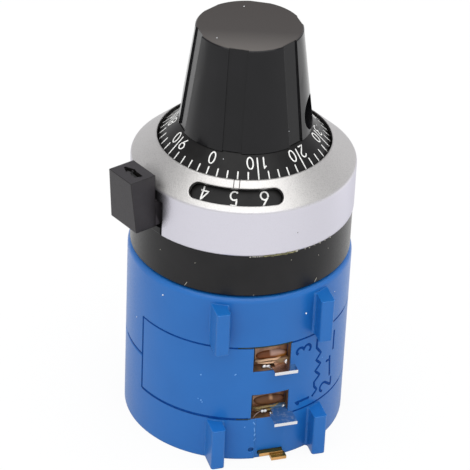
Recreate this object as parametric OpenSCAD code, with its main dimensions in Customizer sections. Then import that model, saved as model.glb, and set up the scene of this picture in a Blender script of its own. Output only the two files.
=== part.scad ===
// Ten-turn wirewound potentiometer with a turns-counting dial, in millimetres.
// The origin is the middle of the flat rear face. +Z runs along the shaft to the knob,
// and -Y points the way the solder lugs and the four flat ribs point.
// An azimuth is counted from -Y towards +X. The model stands at a reading of 5.06 turns.

/* [Housing] */
// Diameter of the moulded housing
body_d = 22.22; // [21.6:0.02:23]
// Length of the housing from rear face to mounting face
body_len = 19.05; // [18.9:0.05:21]
// Thickness of the housing's round wall
wall = 1.15; // [1:0.05:1.2]
// Thickness of the rear floor
rear_floor = 1.6; // [1.5:0.05:1.7]
// Thickness of the front plate that holds the bushing
front_plate = 2; // [1.8:0.05:2.1]
// Radius of the rounded front edge
front_edge_r = 0.6; // [0.3:0.05:0.8]
// Height of the line where the rear shell's outside ends
shell_split = 8.55; // [8.2:0.05:8.8]
// Height of the chamfer on the rear shell's edge, below the seam
split_band = 0.4; // [0.2:0.05:0.5]
// Thickness of the rear shell's tongue inside the front shell
tongue_t = 0.55; // [0.45:0.05:0.7]
// Length of the rear shell's tongue
tongue_len = 1.2; // [0.9:0.1:1.5]

/* [Terminal panel] */
// Half-angle of the curved panel that carries the lugs
panel_half = 73; // [65:1:78]
// Height of the panel's lower edge
panel_low = 4.8; // [4.6:0.05:5]
// Height of the panel's upper edge
panel_high = 13.4; // [13.2:0.05:13.8]
// Width of the two lug windows
window_w = 3.84; // [3.4:0.02:4]
// Height of the two lug windows
window_h = 2.95; // [2.6:0.05:3.2]
// Sideways place of the windows' middle
window_x = 0.3; // [0:0.05:0.5]

/* [Ribs] */
// Sideways distance from the middle to the two left ribs
left_rib_x = 5.05; // [4.8:0.05:5.4]
// Sideways distance from the middle to the two right ribs
right_rib_x = 5.4; // [4.8:0.05:5.5]
// Thickness of a rib
rib_w = 1.35; // [1.1:0.05:1.5]
// Distance from the axis to the ribs' flat outer faces
rib_out = 11.85; // [11.6:0.05:12.4]
// Length of a lower rib, from the rear face
low_rib_len = 4.55; // [4:0.05:4.7]
// Height of the upper ribs' front ends
top_rib_end = 18.25; // [17.5:0.05:18.5]
// Radius of the ribs' outer edges
rib_edge_r = 0.25; // [0.1:0.05:0.4]
// Radius of the fillets between a rib and the round wall
rib_root_r = 0.3; // [0.1:0.05:0.5]

/* [Solder lugs] */
// Thickness of the lug strip
lug_t = 0.35; // [0.3:0.05:0.45]
// Width of a lug outside the housing
lug_w = 2.35; // [2:0.05:2.5]
// Width of a lug's neck inside its window
lug_neck_w = 1.6; // [1.4:0.05:1.6]
// Sideways place of the lugs' middle
lug_x = 1.38; // [1.1:0.02:1.4]
// Distance from the axis to the end of the lower window's lug
lug_1_out = 13; // [12:0.05:14]
// Distance from the axis to the end of the upper window's lug
lug_3_out = 12.3; // [12:0.05:14]
// Height of each lug above its window's sill
lug_sill = 0.2; // [0.1:0.05:0.3]

/* [Winding] */
// Number of turns of the resistance winding
turns = 10; // [10:1:10]
// Rise of the winding in one turn
pitch = 1.15; // [1.1:0.01:1.15]
// Thickness of the wound core
winding_d = 1; // [0.9:0.05:1]
// Thickness of the sleeve that carries the winding
sleeve_t = 0.93; // [0.8:0.01:1]
// Reading at which the model stands, in turns
rest_turns = 5.06; // [5.06:0.01:5.06]
// Azimuth of the sliding contact at that reading
contact_az = -90; // [-120:1:-60]

/* [Shaft and bushing] */
// Diameter of the shaft
shaft_d = 6.35; // [6.3:0.01:6.4]
// Length of the shaft in front of the mounting face
shaft_reach = 20.62; // [18:0.02:21]
// Outer diameter of the bushing's thread
bushing_d = 9.525; // [9.4:0.005:9.6]
// Length of the bushing in front of the mounting face
bushing_len = 7.92; // [7.5:0.01:7.95]
// Width of the panel nut across its flats
nut_af = 12.7; // [12:0.05:12.7]
// Thickness of the panel nut
nut_t = 2.4; // [2:0.05:2.6]
// Thickness of the lock washer
washer_t = 0.5; // [0.4:0.05:0.6]

/* [Dial] */
// Diameter of the black dial base
base_d = 21.8; // [21.6:0.05:22.2]
// Height of the dial base's shoulder above the mounting face
base_h = 4.85; // [4.6:0.05:5]
// Step from the dial base's wall out to the cover's wall
cover_step = 0.1; // [0.05:0.05:0.2]
// Thickness of the cover's sheet
cover_t = 0.5; // [0.4:0.05:0.55]
// Height of the cover's edge between wall and bevel, above the mounting face
cover_edge = 9.55; // [9.4:0.05:9.6]
// Height of the cover's rim above the mounting face
cover_rim = 11.75; // [11.65:0.05:11.9]
// Width of the cover's bevel from its wall in to its opening, seen along the shaft
bevel_w = 2.5; // [2.4:0.02:2.6]
// Azimuth of the index mark and of the middle of the number window
index_az = -21.6; // [-30:0.1:-15]
// Half-angle of the number window
number_half = 27; // [24:0.5:30]
// Distance from the cover's opening out to the number window
number_inset = 0.67; // [0.6:0.01:0.8]
// Width of the number window, seen along the shaft
number_band = 1.29; // [1.2:0.01:1.35]

/* [Gear train] */
// Teeth of the fixed ring gear in the dial base
fixed_teeth = 38; // [38:1:38]
// Teeth of the counting ring's gear
moving_teeth = 40; // [40:1:40]
// Teeth of each half of the pinion
pinion_teeth = 8; // [8:1:8]
// Distance from the shaft's axis to the pinion's axis
gear_centre = 6; // [5.95:0.01:6.02]
// Pressure angle of all teeth
pressure_angle = 25; // [24:0.5:26]
// Play on each side of the pitch line, taken from every tooth
tooth_play = 0.06; // [0.04:0.01:0.08]
// Azimuth of the pinion at rest
pinion_az = 118; // [60:1:180]
// Diameter of the pinion's pin
pinion_pin_d = 1; // [0.9:0.05:1]

/* [Knob] */
// Step from the scale skirt's rim in to the knob's foot
foot_step = 1.78; // [1.7:0.02:1.9]
// Difference of radius between the knob's foot and its top
knob_draft = 1.37; // [1.2:0.01:1.6]
// Height of the knob's foot above the mounting face
knob_foot = 13.35; // [13.3:0.05:13.5]
// Height of the knob's top above the end of the shaft
knob_cap = 3.03; // [2.5:0.01:4]
// Width of each grip groove
groove_w = 1.84; // [1.6:0.02:2.2]
// Depth of each grip groove at its edges
groove_depth = 0.18; // [0.1:0.01:0.3]
// Azimuth of the first grip groove
groove_az = -28.5; // [-60:0.5:0]
// Height of the set screws above the mounting face
screw_h = 15.25; // [15.25:0.05:16]
// Diameter of the set screws
screw_d = 3; // [2.5:0.1:3]
// Gap between the cover's opening and the scale skirt's rim
skirt_gap = 0.2; // [0.15:0.01:0.3]
// Height of the scale skirt's outer rim above the mounting face
skirt_rim = 11.4; // [11.3:0.05:11.5]

/* [Brake] */
// Azimuth of the brake lever when it is open
lever_az = -74.4; // [-76:0.2:-73]
// Travel of the brake lever, clockwise
lever_travel = 20; // [15:1:20]
// Width of the lever's block along the rim, at its top
lever_w = 3.46; // [3:0.02:3.8]
// Distance from the axis to the outer edge of the lever's top
lever_out = 14; // [13.5:0.05:14.5]
// Height of the lever's top above the mounting face
lever_top = 11.1; // [10.8:0.05:11.4]
// Azimuth where the cover's lever slot begins
slot_start = -61; // [-62:0.5:-60]
// Azimuth where the cover's lever slot ends
slot_end = -113; // [-116:0.5:-112]

/* [Hidden] */
$fn = 96;

// Clearances: press seats, running fits, sliding seams and the loose gaps of the dial
seat_gap = 0.05;
run_gap = 0.025;
seam_gap = 0.14;
ring_gap = 0.08;
cover_gap = 0.2;
lever_gap = 0.15;
rib_gap = 0.2;
eps = 0.01;

// Housing
body_r = body_d / 2;
bore_r = body_r - wall;
front_inside = body_len - front_plate;
split_top = shell_split + split_band;
split_seam = 0.06;
split_chamfer = 0.22;
tongue_r = bore_r + tongue_t;
tongue_top = split_top + tongue_len - split_band;
upper_sill = panel_high - window_h;
root_dip = 0.04;
window_side = [window_x - window_w / 2, window_x + window_w / 2];
boss_r = 2.5;
boss_h = 1;
pilot_r = 1.5;
pilot_floor = 0.6;

// Recess and dimple beside the rear lug
recess_inset = 0.5;
recess_depth = 0.15;
dimple_az = -7.5;
dimple_z = 1.1;
dimple_r = 0.3;

// Rear lug: sides of its strip, its tongue and its riser, reach past the wall and height
rear_lug_x = [-0.7, 1.75];
rear_tongue_x = [0.45, 2];
riser_x = [0.1, 1.1];
riser_in = 0.7;
rear_lug_reach = 0.4;
rear_tongue_reach = 0.85;
rear_lug_z = 0.45;

// Winding: its inner edge, its lowest turn and the contact's height at rest
sleeve_out = bore_r - seat_gap;
sleeve_in = sleeve_out - sleeve_t;
winding_r = sleeve_in - seat_gap - winding_d / 2;
winding_inside = winding_r - winding_d / 2;
winding_low = (rear_floor + front_inside - turns * pitch) / 2;
contact_z = winding_low + rest_turns * pitch;
steps_per_turn = 24;
winding_sides = 6;

// Shaft, bushing and rotor
shaft_r = shaft_d / 2;
shaft_bore_r = shaft_r + run_gap;
shaft_end = body_len + shaft_reach;
bushing_r = bushing_d / 2;
bushing_end = body_len + bushing_len;
flange_r = 6.4;
flange_t = 0.75;
flange_low = front_inside - flange_t - seat_gap;
clip_t = 0.26;
clip_low = bushing_end + 0.03;
clip_out = shaft_r + 0.65;
clip_groove_r = shaft_r - 0.375;
rotor_low = rear_floor + boss_h + 0.35;
thrust_t = 0.25;
rotor_top = flange_low - thrust_t - 2 * seat_gap;
rotor_r = 6.6;
slot_floor_r = 4;
carriage_w = 2.5;
carriage_h = 1.8;
carriage_out = 7.1;
collector_in = 4.7;
collector_out = 6.3;
collector_t = 0.3;

// Dial: heights above the rear face
face = body_len;
base_r = base_d / 2;
base_floor = face + 1.2;
base_shoulder = face + base_h;
base_spigot = base_shoulder + 0.4;
washer_low = base_floor;
nut_low = washer_low + washer_t;
washer_r = 6.6;
washer_notch_w = 1.1;
washer_notch_depth = 0.7;
cover_r = base_r + cover_step;
cover_in = cover_r - cover_t;
opening_r = cover_r - bevel_w;
number_in = opening_r + number_inset;
number_out = number_in + number_band;
edge_z = face + cover_edge;
rim_z = face + cover_rim;
bevel_slope = (rim_z - edge_z) / (cover_r - opening_r);
bevel_drop = sqrt(1 + bevel_slope * bevel_slope);
slot_r = cover_in - seat_gap;
index_w = 0.55;
index_depth = 0.15;

// Gear train: the two ring gears share one centre distance, so their modules differ
fixed_module = 2 * gear_centre / (fixed_teeth - pinion_teeth);
moving_module = 2 * gear_centre / (moving_teeth - pinion_teeth);
pinion_low = bushing_end + 0.33;
gear_t = 0.85;
fixed_gear_top = pinion_low + gear_t + 0.05;
ring_low = fixed_gear_top + ring_gap;
upper_pinion = ring_low + 0.1;
ring_gear_top = upper_pinion + gear_t + 0.05;
pin_r = pinion_pin_d / 2;
gear_wall_r = gear_centre + pinion_teeth * fixed_module / 2 + 1.1;
drum_in = gear_wall_r + ring_gap;
drum_out = drum_in + 0.27;
ring_cone_in = opening_r + 0.15;
ring_cone_out = cover_in - 0.25;

// Knob and skirt
knob_low = face + knob_foot;
knob_top = shaft_end + knob_cap;
insert_low = clip_low + clip_t + 0.16;
insert_neck_r = 3.9;
insert_r = 4.6;
insert_step = face + 11.35;
insert_top = knob_top - 1.5;
skirt_r = opening_r - skirt_gap;
foot_r = skirt_r - foot_step;
knob_r = foot_r - knob_draft;
skirt_edge = face + skirt_rim;
skirt_low = ring_gear_top + 0.5;
skirt_top = knob_low - 0.02;
screw_z = face + screw_h;
screw_az = groove_az + 90;

// Brake
arm_out = cover_in - cover_gap;
band_in = drum_out + 0.07;
band_out = band_in + 0.38;
arm_in = band_out + 0.15;
arm_low = base_spigot + 0.35;
arm_top = arm_low + 2.75;
arm_half = 12;
lever_bottom = arm_low;
lever_in = cover_r + lever_gap;
lever_slot_top = arm_top + 0.15;
ear_az = lever_az - arm_half - lever_travel - 2;
ear_half = 0.9;
post_az = ear_az - 22;
post_half = 1.5;

// A point at radius r and polar angle a
function polar(r, a) = [r * cos(a), r * sin(a)];

// Points of an arc of radius r round a centre, from one angle to another
function arc(centre, r, from, to, n = 6) =
    [for (i = [0 : n]) centre + polar(r, from + (to - from) * i / n)];

// Height of the cover's bevel at radius r, lowered by a thickness square to it
function bevel_z(r, below = 0) = rim_z - bevel_slope * (r - opening_r) - below * bevel_drop;

// Involute function of an angle, in degrees
function involute(a) = tan(a) * 180 / PI - a;

// Half of the angle that a tooth covers at radius r, for teeth widened by play
function half_tooth(r, teeth, module_mm, play) =
    let (pitch_r = teeth * module_mm / 2)
    let (base_circle = pitch_r * cos(pressure_angle))
    90 / teeth + play / (2 * pitch_r) * 180 / PI
        + involute(pressure_angle) - involute(acos(min(1, base_circle / r)));

// Outline of an involute gear from its root to its tips
function gear_outline(teeth, module_mm, root_r, tip_r, play, n = 4) =
    let (base_circle = teeth * module_mm / 2 * cos(pressure_angle))
    let (low = max(base_circle, root_r))
    let (radii = [for (i = [0 : n]) low + (tip_r - low) * i / n])
    let (foot = half_tooth(low, teeth, module_mm, play))
    [for (t = [0 : teeth - 1]) let (mid = 360 * t / teeth) each concat(
        root_r < low ? [polar(root_r, mid - foot)] : [],
        [for (i = [0 : n]) polar(radii[i], mid - half_tooth(radii[i], teeth, module_mm, play))],
        [for (i = [n : -1 : 0]) polar(radii[i], mid + half_tooth(radii[i], teeth, module_mm, play))],
        root_r < low ? [polar(root_r, mid + foot)] : []
    )];

// Turns what is drawn towards -Y to an azimuth
module at_azimuth(a) {
    rotate([0, 0, a]) children();
}

// A straight ring between two radii and two heights
module ring(r_in, r_out, z_low, z_high) {
    rotate_extrude() translate([r_in, z_low]) square([r_out - r_in, z_high - z_low]);
}

// A piece of such a ring between two azimuths
module ring_piece(r_in, r_out, z_low, z_high, a_from, a_to) {
    rotate([0, 0, a_from - 90])
        rotate_extrude(angle = a_to - a_from)
            translate([r_in, z_low]) square([r_out - r_in, z_high - z_low]);
}

// A round bar or bore on the axis
module bar(r, z_low, z_high) {
    translate([0, 0, z_low]) cylinder(r = r, h = z_high - z_low);
}

// A block given by its limits in x, y and z
module block(x, y, z) {
    translate([x[0], y[0], z[0]]) cube([x[1] - x[0], y[1] - y[0], z[1] - z[0]]);
}

// Section of one flat rib that points to -Y: rounded outer edges, fillets at its root
module rib_section(x) {
    root_y = -sqrt(pow(body_r - wall / 2, 2) - x * x);
    half = rib_w / 2;
    edge_y = -rib_out + rib_edge_r;
    polygon(concat(
        [[x + half, root_y]],
        fillet_points(x, 1),
        arc([x + half - rib_edge_r, edge_y], rib_edge_r, 0, -90),
        arc([x - half + rib_edge_r, edge_y], rib_edge_r, -90, -180),
        fillet_points(x, -1),
        [[x - half, root_y]]
    ));
}

// Points of a rib's root fillet on one side: from inside the round wall out on the +X side,
// and back into it on the -X side. The fillet dips a little into the wall.
function fillet_points(x, side) =
    let (reach = body_r + rib_root_r - root_dip)
    let (mid_x = x + side * (rib_w / 2 + rib_root_r))
    let (mid = [mid_x, -sqrt(reach * reach - mid_x * mid_x)])
    let (inward = atan2(-mid[1], -mid_x))
    let (inside = (body_r - wall / 2) / reach * mid)
    side > 0 ? concat([inside], arc(mid, rib_root_r, inward, 180))
             : concat(arc(mid, rib_root_r, 0, inward), [inside]);

module rib_pair(z_low, z_high) {
    for (x = [-left_rib_x, right_rib_x])
        translate([0, 0, z_low]) linear_extrude(z_high - z_low) rib_section(x);
}

// Room that the curved panel takes out of a shell
module panel_room(z_low, z_high) {
    play_angle = seam_gap / body_r * 180 / PI;
    ring_piece(bore_r - 0.2, body_r + 1, z_low, z_high,
        -panel_half - play_angle, panel_half + play_angle);
}

module rear_shell() {
    seam_z = split_top - split_seam;
    riser_y = -collector_in - riser_in;
    color("royalblue") difference() {
        union() {
            rotate_extrude() polygon([
                [0, 0], [body_r, 0], [body_r, shell_split], [body_r - split_chamfer, seam_z],
                [tongue_r, seam_z], [tongue_r, tongue_top], [bore_r, tongue_top], [bore_r, rear_floor],
                [boss_r, rear_floor], [boss_r, rear_floor + boss_h], [0, rear_floor + boss_h]
            ]);
            rib_pair(0, low_rib_len);
        }
        panel_room(panel_low, tongue_top + 1);
        bar(pilot_r + run_gap * 2, pilot_floor, rear_floor + boss_h + 1);
        // Flat recess that the rear lug leaves by, with its slot through the floor
        block([window_side[0] + recess_inset, right_rib_x / 2],
            [-body_r - 1, -body_r + recess_depth], [-1, panel_low + 1]);
        block([rear_lug_x[0] - seat_gap, rear_lug_x[1] + seat_gap],
            [-body_r - 1, -collector_in - lug_t / 2],
            [rear_lug_z - seat_gap, rear_lug_z + lug_t + seat_gap]);
        block([riser_x[0] - seat_gap, riser_x[1] + seat_gap],
            [riser_y - seat_gap, riser_y + lug_t + seat_gap], [rear_lug_z, rear_floor + 1]);
        // Small dimple beside the rear lug
        at_azimuth(dimple_az) translate([0, dimple_r - body_r, dimple_z]) rotate([90, 0, 0])
            cylinder(r = dimple_r, h = 1, $fn = 24);
    }
}

module front_shell() {
    color("royalblue") difference() {
        union() {
            rotate_extrude() polygon(concat(
                [[bushing_r + seat_gap, front_inside], [bore_r, front_inside],
                 [bore_r, tongue_top + seam_gap], [tongue_r + seat_gap, tongue_top + seam_gap],
                 [tongue_r + seat_gap, split_top], [body_r, split_top]],
                arc([body_r - front_edge_r, body_len - front_edge_r], front_edge_r, 0, 90),
                [[bushing_r + seat_gap, body_len]]
            ));
            rib_pair(panel_high + rib_gap, top_rib_end);
        }
        panel_room(split_top - 1, panel_high);
    }
}

module terminal_panel() {
    color("royalblue") difference() {
        ring_piece(bore_r, body_r, panel_low + seam_gap, panel_high - seam_gap,
            -panel_half, panel_half);
        for (z = [[panel_low - 1, panel_low + window_h], [upper_sill, panel_high + 1]])
            block(window_side, [-body_r - 1, -bore_r + 1.5], z);
    }
}

module winding_sleeve() {
    color("saddlebrown") ring(sleeve_in, sleeve_out, rear_floor, front_inside - seat_gap);
}

// The wound core climbs clockwise, so that a clockwise turn of the shaft lifts the contact
module resistance_winding() {
    rings = turns * steps_per_turn;
    points = [for (i = [0 : rings]) let (n = i / steps_per_turn)
        let (a = contact_az - 90 - 360 * (n - rest_turns))
        let (z = winding_low + pitch * n)
        for (k = [0 : winding_sides - 1])
            let (b = 360 * k / winding_sides)
            let (r = winding_r + winding_d / 2 * cos(b))
            [r * cos(a), r * sin(a), z + winding_d / 2 * sin(b)]];
    sides = [for (i = [0 : rings - 1]) for (k = [0 : winding_sides - 1])
        let (next = (k + 1) % winding_sides)
        [i * winding_sides + k, (i + 1) * winding_sides + k,
         (i + 1) * winding_sides + next, i * winding_sides + next]];
    first_end = [for (k = [0 : winding_sides - 1]) k];
    last_end = [for (k = [winding_sides - 1 : -1 : 0]) rings * winding_sides + k];
    color("peru") polyhedron(points, concat(sides, [first_end, last_end]), convexity = 10);
}

// A lug: a strip that leaves its window level, and a foot that lies on the sleeve
module window_lug(sill, lug_out) {
    low = sill + lug_sill;
    back = sleeve_out + 2 * seat_gap;
    shoulder = body_r + 0.15;
    foot_h = 0.55;
    neck = [lug_x - lug_neck_w / 2, lug_x + lug_neck_w / 2];
    block([lug_x - lug_w / 2, lug_x + lug_w / 2], [-lug_out, -shoulder], [low, low + lug_t]);
    block(neck, [-shoulder - seat_gap, -back], [low, low + lug_t]);
    block(neck, [-back - lug_t, -back], [low, low + foot_h]);
}

module terminal_1() {
    color("silver") window_lug(panel_low, lug_1_out);
}

module terminal_3() {
    color("silver") window_lug(upper_sill, lug_3_out);
}

// The rear lug: a wide strip through the floor, a bent tongue and a riser to the collector
module terminal_2() {
    end_y = -body_r - rear_lug_reach;
    riser_y = -collector_in - riser_in;
    color("darkgoldenrod") {
        block(rear_lug_x, [end_y, riser_y + lug_t], [rear_lug_z, rear_lug_z + lug_t]);
        block(rear_tongue_x, [-body_r - rear_tongue_reach, end_y + lug_t],
            [rear_lug_z - lug_t, rear_lug_z]);
        block(riser_x, [riser_y, riser_y + lug_t], [rear_lug_z, rear_floor]);
    }
}

module collector_ring() {
    color("gold") ring(collector_in, collector_out, rear_floor, rear_floor + collector_t);
}

module bushing() {
    chamfer = 0.35;
    color("gainsboro") rotate_extrude() polygon([
        [shaft_bore_r, flange_low], [flange_r, flange_low], [flange_r, flange_low + flange_t],
        [bushing_r, flange_low + flange_t], [bushing_r, bushing_end - chamfer],
        [bushing_r - chamfer, bushing_end], [shaft_bore_r, bushing_end]
    ]);
}

module lock_washer() {
    washer_in = bushing_r + seat_gap;
    color("silver") difference() {
        ring(washer_in, washer_r, washer_low, washer_low + washer_t);
        for (i = [0 : 7]) rotate([0, 0, 45 * i])
            block([-washer_notch_w / 2, washer_notch_w / 2],
                [washer_in - 1, washer_in + washer_notch_depth],
                [washer_low - 1, washer_low + washer_t + 1]);
    }
}

module panel_nut() {
    color("silver") difference() {
        translate([0, 0, nut_low]) cylinder(r = nut_af / 2 / cos(30), h = nut_t, $fn = 6);
        bar(bushing_r + seat_gap, nut_low - 1, nut_low + nut_t + 1);
    }
}

// The teeth of a ring gear are what this cutter leaves standing
module ring_gear_cutter(teeth, module_mm, addendum, dedendum, z_low, z_high) {
    pitch_r = teeth * module_mm / 2;
    at_azimuth(pinion_az) rotate([0, 0, -90]) translate([0, 0, z_low])
        linear_extrude(z_high - z_low)
            polygon(gear_outline(teeth, module_mm, pitch_r - addendum, pitch_r + dedendum,
                tooth_play));
}

module dial_base() {
    reveal = 0.3;
    nut_room_r = 8.05;
    gear_low = pinion_low - 0.05;
    tip_r = fixed_teeth * fixed_module / 2 - 0.25;
    slot_land_r = base_r - seat_gap;
    foot_r_in = base_r - 0.5;
    color("dimgray") difference() {
        union() {
            rotate_extrude() polygon([
                [bushing_r + seat_gap * 2, face], [foot_r_in, face], [foot_r_in, face + reveal],
                [base_r, face + reveal], [base_r, base_shoulder], [cover_in - seat_gap, base_shoulder],
                [cover_in - seat_gap, base_spigot], [gear_wall_r, base_spigot],
                [gear_wall_r, fixed_gear_top], [tip_r, fixed_gear_top], [tip_r, gear_low],
                [nut_room_r, gear_low - 0.7], [nut_room_r, base_floor],
                [bushing_r + seat_gap * 2, base_floor]
            ]);
            // Land that fills the foot of the cover's lever slot
            ring_piece(arm_out + seat_gap, slot_land_r, base_shoulder - 0.5, base_spigot + 0.2,
                slot_end + 0.6, slot_start - 0.6);
            // Post that the brake band's closed end is hooked behind
            ring_piece(arm_in, arm_out, base_spigot - 0.3, arm_top - 0.6,
                post_az - post_half, post_az + post_half);
        }
        ring_gear_cutter(fixed_teeth, fixed_module, 0.25, 0.4, gear_low - 1, fixed_gear_top + 1);
    }
}

module dial_cover() {
    edge_r = 0.3;
    bevel_angle = atan(bevel_slope);
    number_mid = (number_in + number_out) / 2;
    number_w = (number_out - number_in) * bevel_drop;
    end_angle = number_w / 2 / number_mid * 180 / PI;
    edge_mid = [cover_r - edge_r, bevel_z(cover_r) - edge_r * tan(45 - bevel_angle / 2)];
    color("lightgray") difference() {
        rotate_extrude() polygon(concat(
            [[cover_in, base_shoulder], [cover_r, base_shoulder]],
            arc(edge_mid, edge_r, 0, 90 - bevel_angle, 5),
            [[opening_r, rim_z], [opening_r, bevel_z(opening_r, cover_t)],
             [cover_in, bevel_z(cover_in, cover_t)]]
        ));
        // Number window: a curved slot square to the bevel, with round ends
        number_slot(number_mid, number_w, number_half - end_angle);
        // Lever slot, open at the foot of the wall
        ring_piece(slot_r - 1, cover_r + 1, base_shoulder - 1, lever_slot_top, slot_end, slot_start);
        // Index groove from the opening to the number window
        at_azimuth(index_az) translate([0, 0, rim_z]) rotate([bevel_angle, 0, 0])
            block([-index_w / 2, index_w / 2], [-opening_r / cos(bevel_angle) - 2, 0], [-index_depth, 1]);
    }
}

module number_slot(mid_r, width, half_angle) {
    z_mid = bevel_z(mid_r);
    tilt = atan(bevel_slope);
    reach = 2;
    rotate([0, 0, index_az - half_angle - 90]) rotate_extrude(angle = 2 * half_angle)
        translate([mid_r, z_mid]) rotate(-tilt) translate([-width / 2, -reach])
            square([width, 2 * reach]);
    for (side = [-1, 1])
        at_azimuth(index_az + side * half_angle)
            translate([0, -mid_r, z_mid]) rotate([tilt, 0, 0])
                translate([0, 0, -reach]) cylinder(r = width / 2, h = 2 * reach, $fn = 32);
}

// Open spring band round the counting ring's drum, with an ear that the lever pushes
module brake_band() {
    closed_end = post_az - post_half - 1.7;
    hook_half = 1;
    band_top = arm_top - 0.2;
    ear_out = arm_out - seat_gap;
    color("linen") {
        ring_piece(band_in, band_out, base_spigot, band_top, ear_az - ear_half, closed_end + 360);
        ring_piece(band_in, ear_out, base_spigot, band_top, ear_az - ear_half, ear_az + ear_half);
        ring_piece(band_in, ear_out, base_spigot, band_top - 0.6,
            closed_end - hook_half, closed_end + hook_half);
    }
}

module shaft() {
    chamfer = 0.5;
    step_z = rear_floor + boss_h + 0.3;
    color("silver") rotate_extrude() polygon([
        [0, pilot_floor + 0.1], [pilot_r, pilot_floor + 0.1], [pilot_r, step_z], [shaft_r, step_z],
        [shaft_r, clip_low - 0.02], [clip_groove_r, clip_low - 0.02],
        [clip_groove_r, clip_low + clip_t + 0.02], [shaft_r, clip_low + clip_t + 0.02],
        [shaft_r, shaft_end - chamfer], [shaft_r - chamfer, shaft_end], [0, shaft_end]
    ]);
}

module retaining_ring() {
    mouth_half = 28;
    color("dimgray") ring_piece(clip_groove_r + 0.02, clip_out, clip_low, clip_low + clip_t,
        mouth_half, 360 - mouth_half);
}

module rotor() {
    pocket_r = 0.9;
    color("ivory") difference() {
        ring(shaft_bore_r, rotor_r, rotor_low, rotor_top);
        at_azimuth(contact_az)
            block([-carriage_w / 2 - seat_gap, carriage_w / 2 + seat_gap],
                [-rotor_r - 1, -slot_floor_r], [rotor_low - 1, rotor_top + 1]);
        for (a = [60 : 60 : 300])
            at_azimuth(contact_az + a) translate([0, -(slot_floor_r + rotor_r) / 2, rotor_low + 1])
                cylinder(r = pocket_r, h = rotor_top);
    }
}

// Leaf on the rotor's rear face that rubs on the collector ring
module pickup_brush() {
    mid = (collector_in + collector_out) / 2;
    top = rotor_low - seat_gap;
    color("gold") at_azimuth(contact_az + 180) {
        block([-1.4, 1.4], [-mid - 0.5, -mid + 0.5], [top - 0.3, top]);
        block([-0.3, 0.3], [-mid - 0.3, -mid + 0.3], [rear_floor + collector_t + seat_gap, top - 0.3]);
    }
}

module thrust_washer() {
    color("khaki") ring(shaft_bore_r, slot_floor_r, rotor_top + seat_gap, rotor_top + seat_gap + thrust_t);
}

module contact_carriage() {
    waist_r = 0.35;
    color("darkgray") at_azimuth(contact_az) difference() {
        block([-carriage_w / 2, carriage_w / 2], [-carriage_out, -slot_floor_r - 2 * seat_gap],
            [contact_z - carriage_h / 2, contact_z + carriage_h / 2]);
        // Waist that the spring's fork grips
        for (side = [-1, 1])
            translate([side * carriage_w / 2, 1 - carriage_out, contact_z - carriage_h])
                cylinder(r = waist_r, h = 2 * carriage_h, $fn = 24);
    }
}

module wiper_spring() {
    back = carriage_out + seat_gap;
    leaf_t = 0.12;
    tip = winding_inside - 0.2;
    color("gold") at_azimuth(contact_az) {
        block([-1, 1], [-back - leaf_t, -back], [contact_z - 0.6, contact_z + 0.6]);
        block([-0.25, 0.25], [-tip, -back - leaf_t], [contact_z - 0.2, contact_z + 0.2]);
    }
}

module knob_insert() {
    color("goldenrod") difference() {
        rotate_extrude() polygon([
            [shaft_bore_r, insert_low], [insert_neck_r, insert_low], [insert_neck_r, insert_step],
            [insert_r, insert_step], [insert_r, insert_top], [shaft_bore_r, insert_top]
        ]);
        screw_bores(screw_d / 2 + run_gap, shaft_r - 0.1, insert_r + 1);
    }
}

// Cross bores for the two set screws, on opposite sides
module screw_bores(r, from, to) {
    for (a = [0, 180])
        at_azimuth(screw_az + a) translate([0, -from, screw_z]) rotate([90, 0, 0])
            cylinder(r = r, h = to - from, $fn = 48);
}

// A tapered round knob with six shallow, flat-bottomed grip grooves
module knob() {
    top_edge = 0.15;
    cavity_top = insert_top + 0.1;
    groove_floor = sqrt(foot_r * foot_r - groove_w * groove_w / 4) - groove_depth;
    groove_tilt = atan(knob_draft / (knob_top - knob_low));
    color("dimgray") difference() {
        rotate_extrude() polygon([
            [0, knob_low], [foot_r, knob_low], [knob_r, knob_top - top_edge],
            [knob_r - top_edge, knob_top], [0, knob_top]
        ]);
        for (i = [0 : 5])
            at_azimuth(groove_az + 60 * i)
                translate([0, -groove_floor, knob_low]) rotate([-groove_tilt, 0, 0])
                    block([-groove_w / 2, groove_w / 2], [-2, 0], [-2, knob_top - knob_low + 2]);
        bar(insert_r + seat_gap, knob_low - 1, cavity_top);
        screw_bores(screw_d / 2 + 0.2, insert_r - 0.5, foot_r + 2);
    }
}

module scale_skirt() {
    rim_edge = 0.3;
    pin_hole_depth = 1.3;
    color("dimgray") difference() {
        rotate_extrude() polygon([
            [insert_neck_r + run_gap, skirt_low], [skirt_r - rim_edge, skirt_low],
            [skirt_r, skirt_low + rim_edge],
            [skirt_r, skirt_edge], [skirt_r - (skirt_top - skirt_edge), skirt_top],
            [insert_r + run_gap, skirt_top], [insert_r + run_gap, insert_step - seat_gap],
            [insert_neck_r + run_gap, insert_step - seat_gap]
        ]);
        at_azimuth(pinion_az) translate([0, -gear_centre, skirt_low - 1])
            cylinder(r = pin_r + run_gap, h = 1 + pin_hole_depth);
    }
}

module set_screws() {
    socket_af = 1.5;
    inner = shaft_r + 0.03;
    outer = inner + 2.2;
    color("dimgray") for (a = [0, 180])
        at_azimuth(screw_az + a) translate([0, -inner, screw_z]) rotate([90, 0, 0]) difference() {
            cylinder(r = screw_d / 2, h = outer - inner, $fn = 48);
            translate([0, 0, outer - inner - 1])
                cylinder(r = socket_af / 2 / cos(30), h = 2, $fn = 6);
        }
}

module pinion_pin() {
    head_r = 0.8;
    head_t = 0.2;
    head_low = pinion_low - 0.05 - head_t;
    color("silver") at_azimuth(pinion_az) translate([0, -gear_centre, 0]) {
        bar(head_r, head_low, head_low + head_t);
        bar(pin_r, head_low + head_t, skirt_low + 1.2);
    }
}

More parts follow.
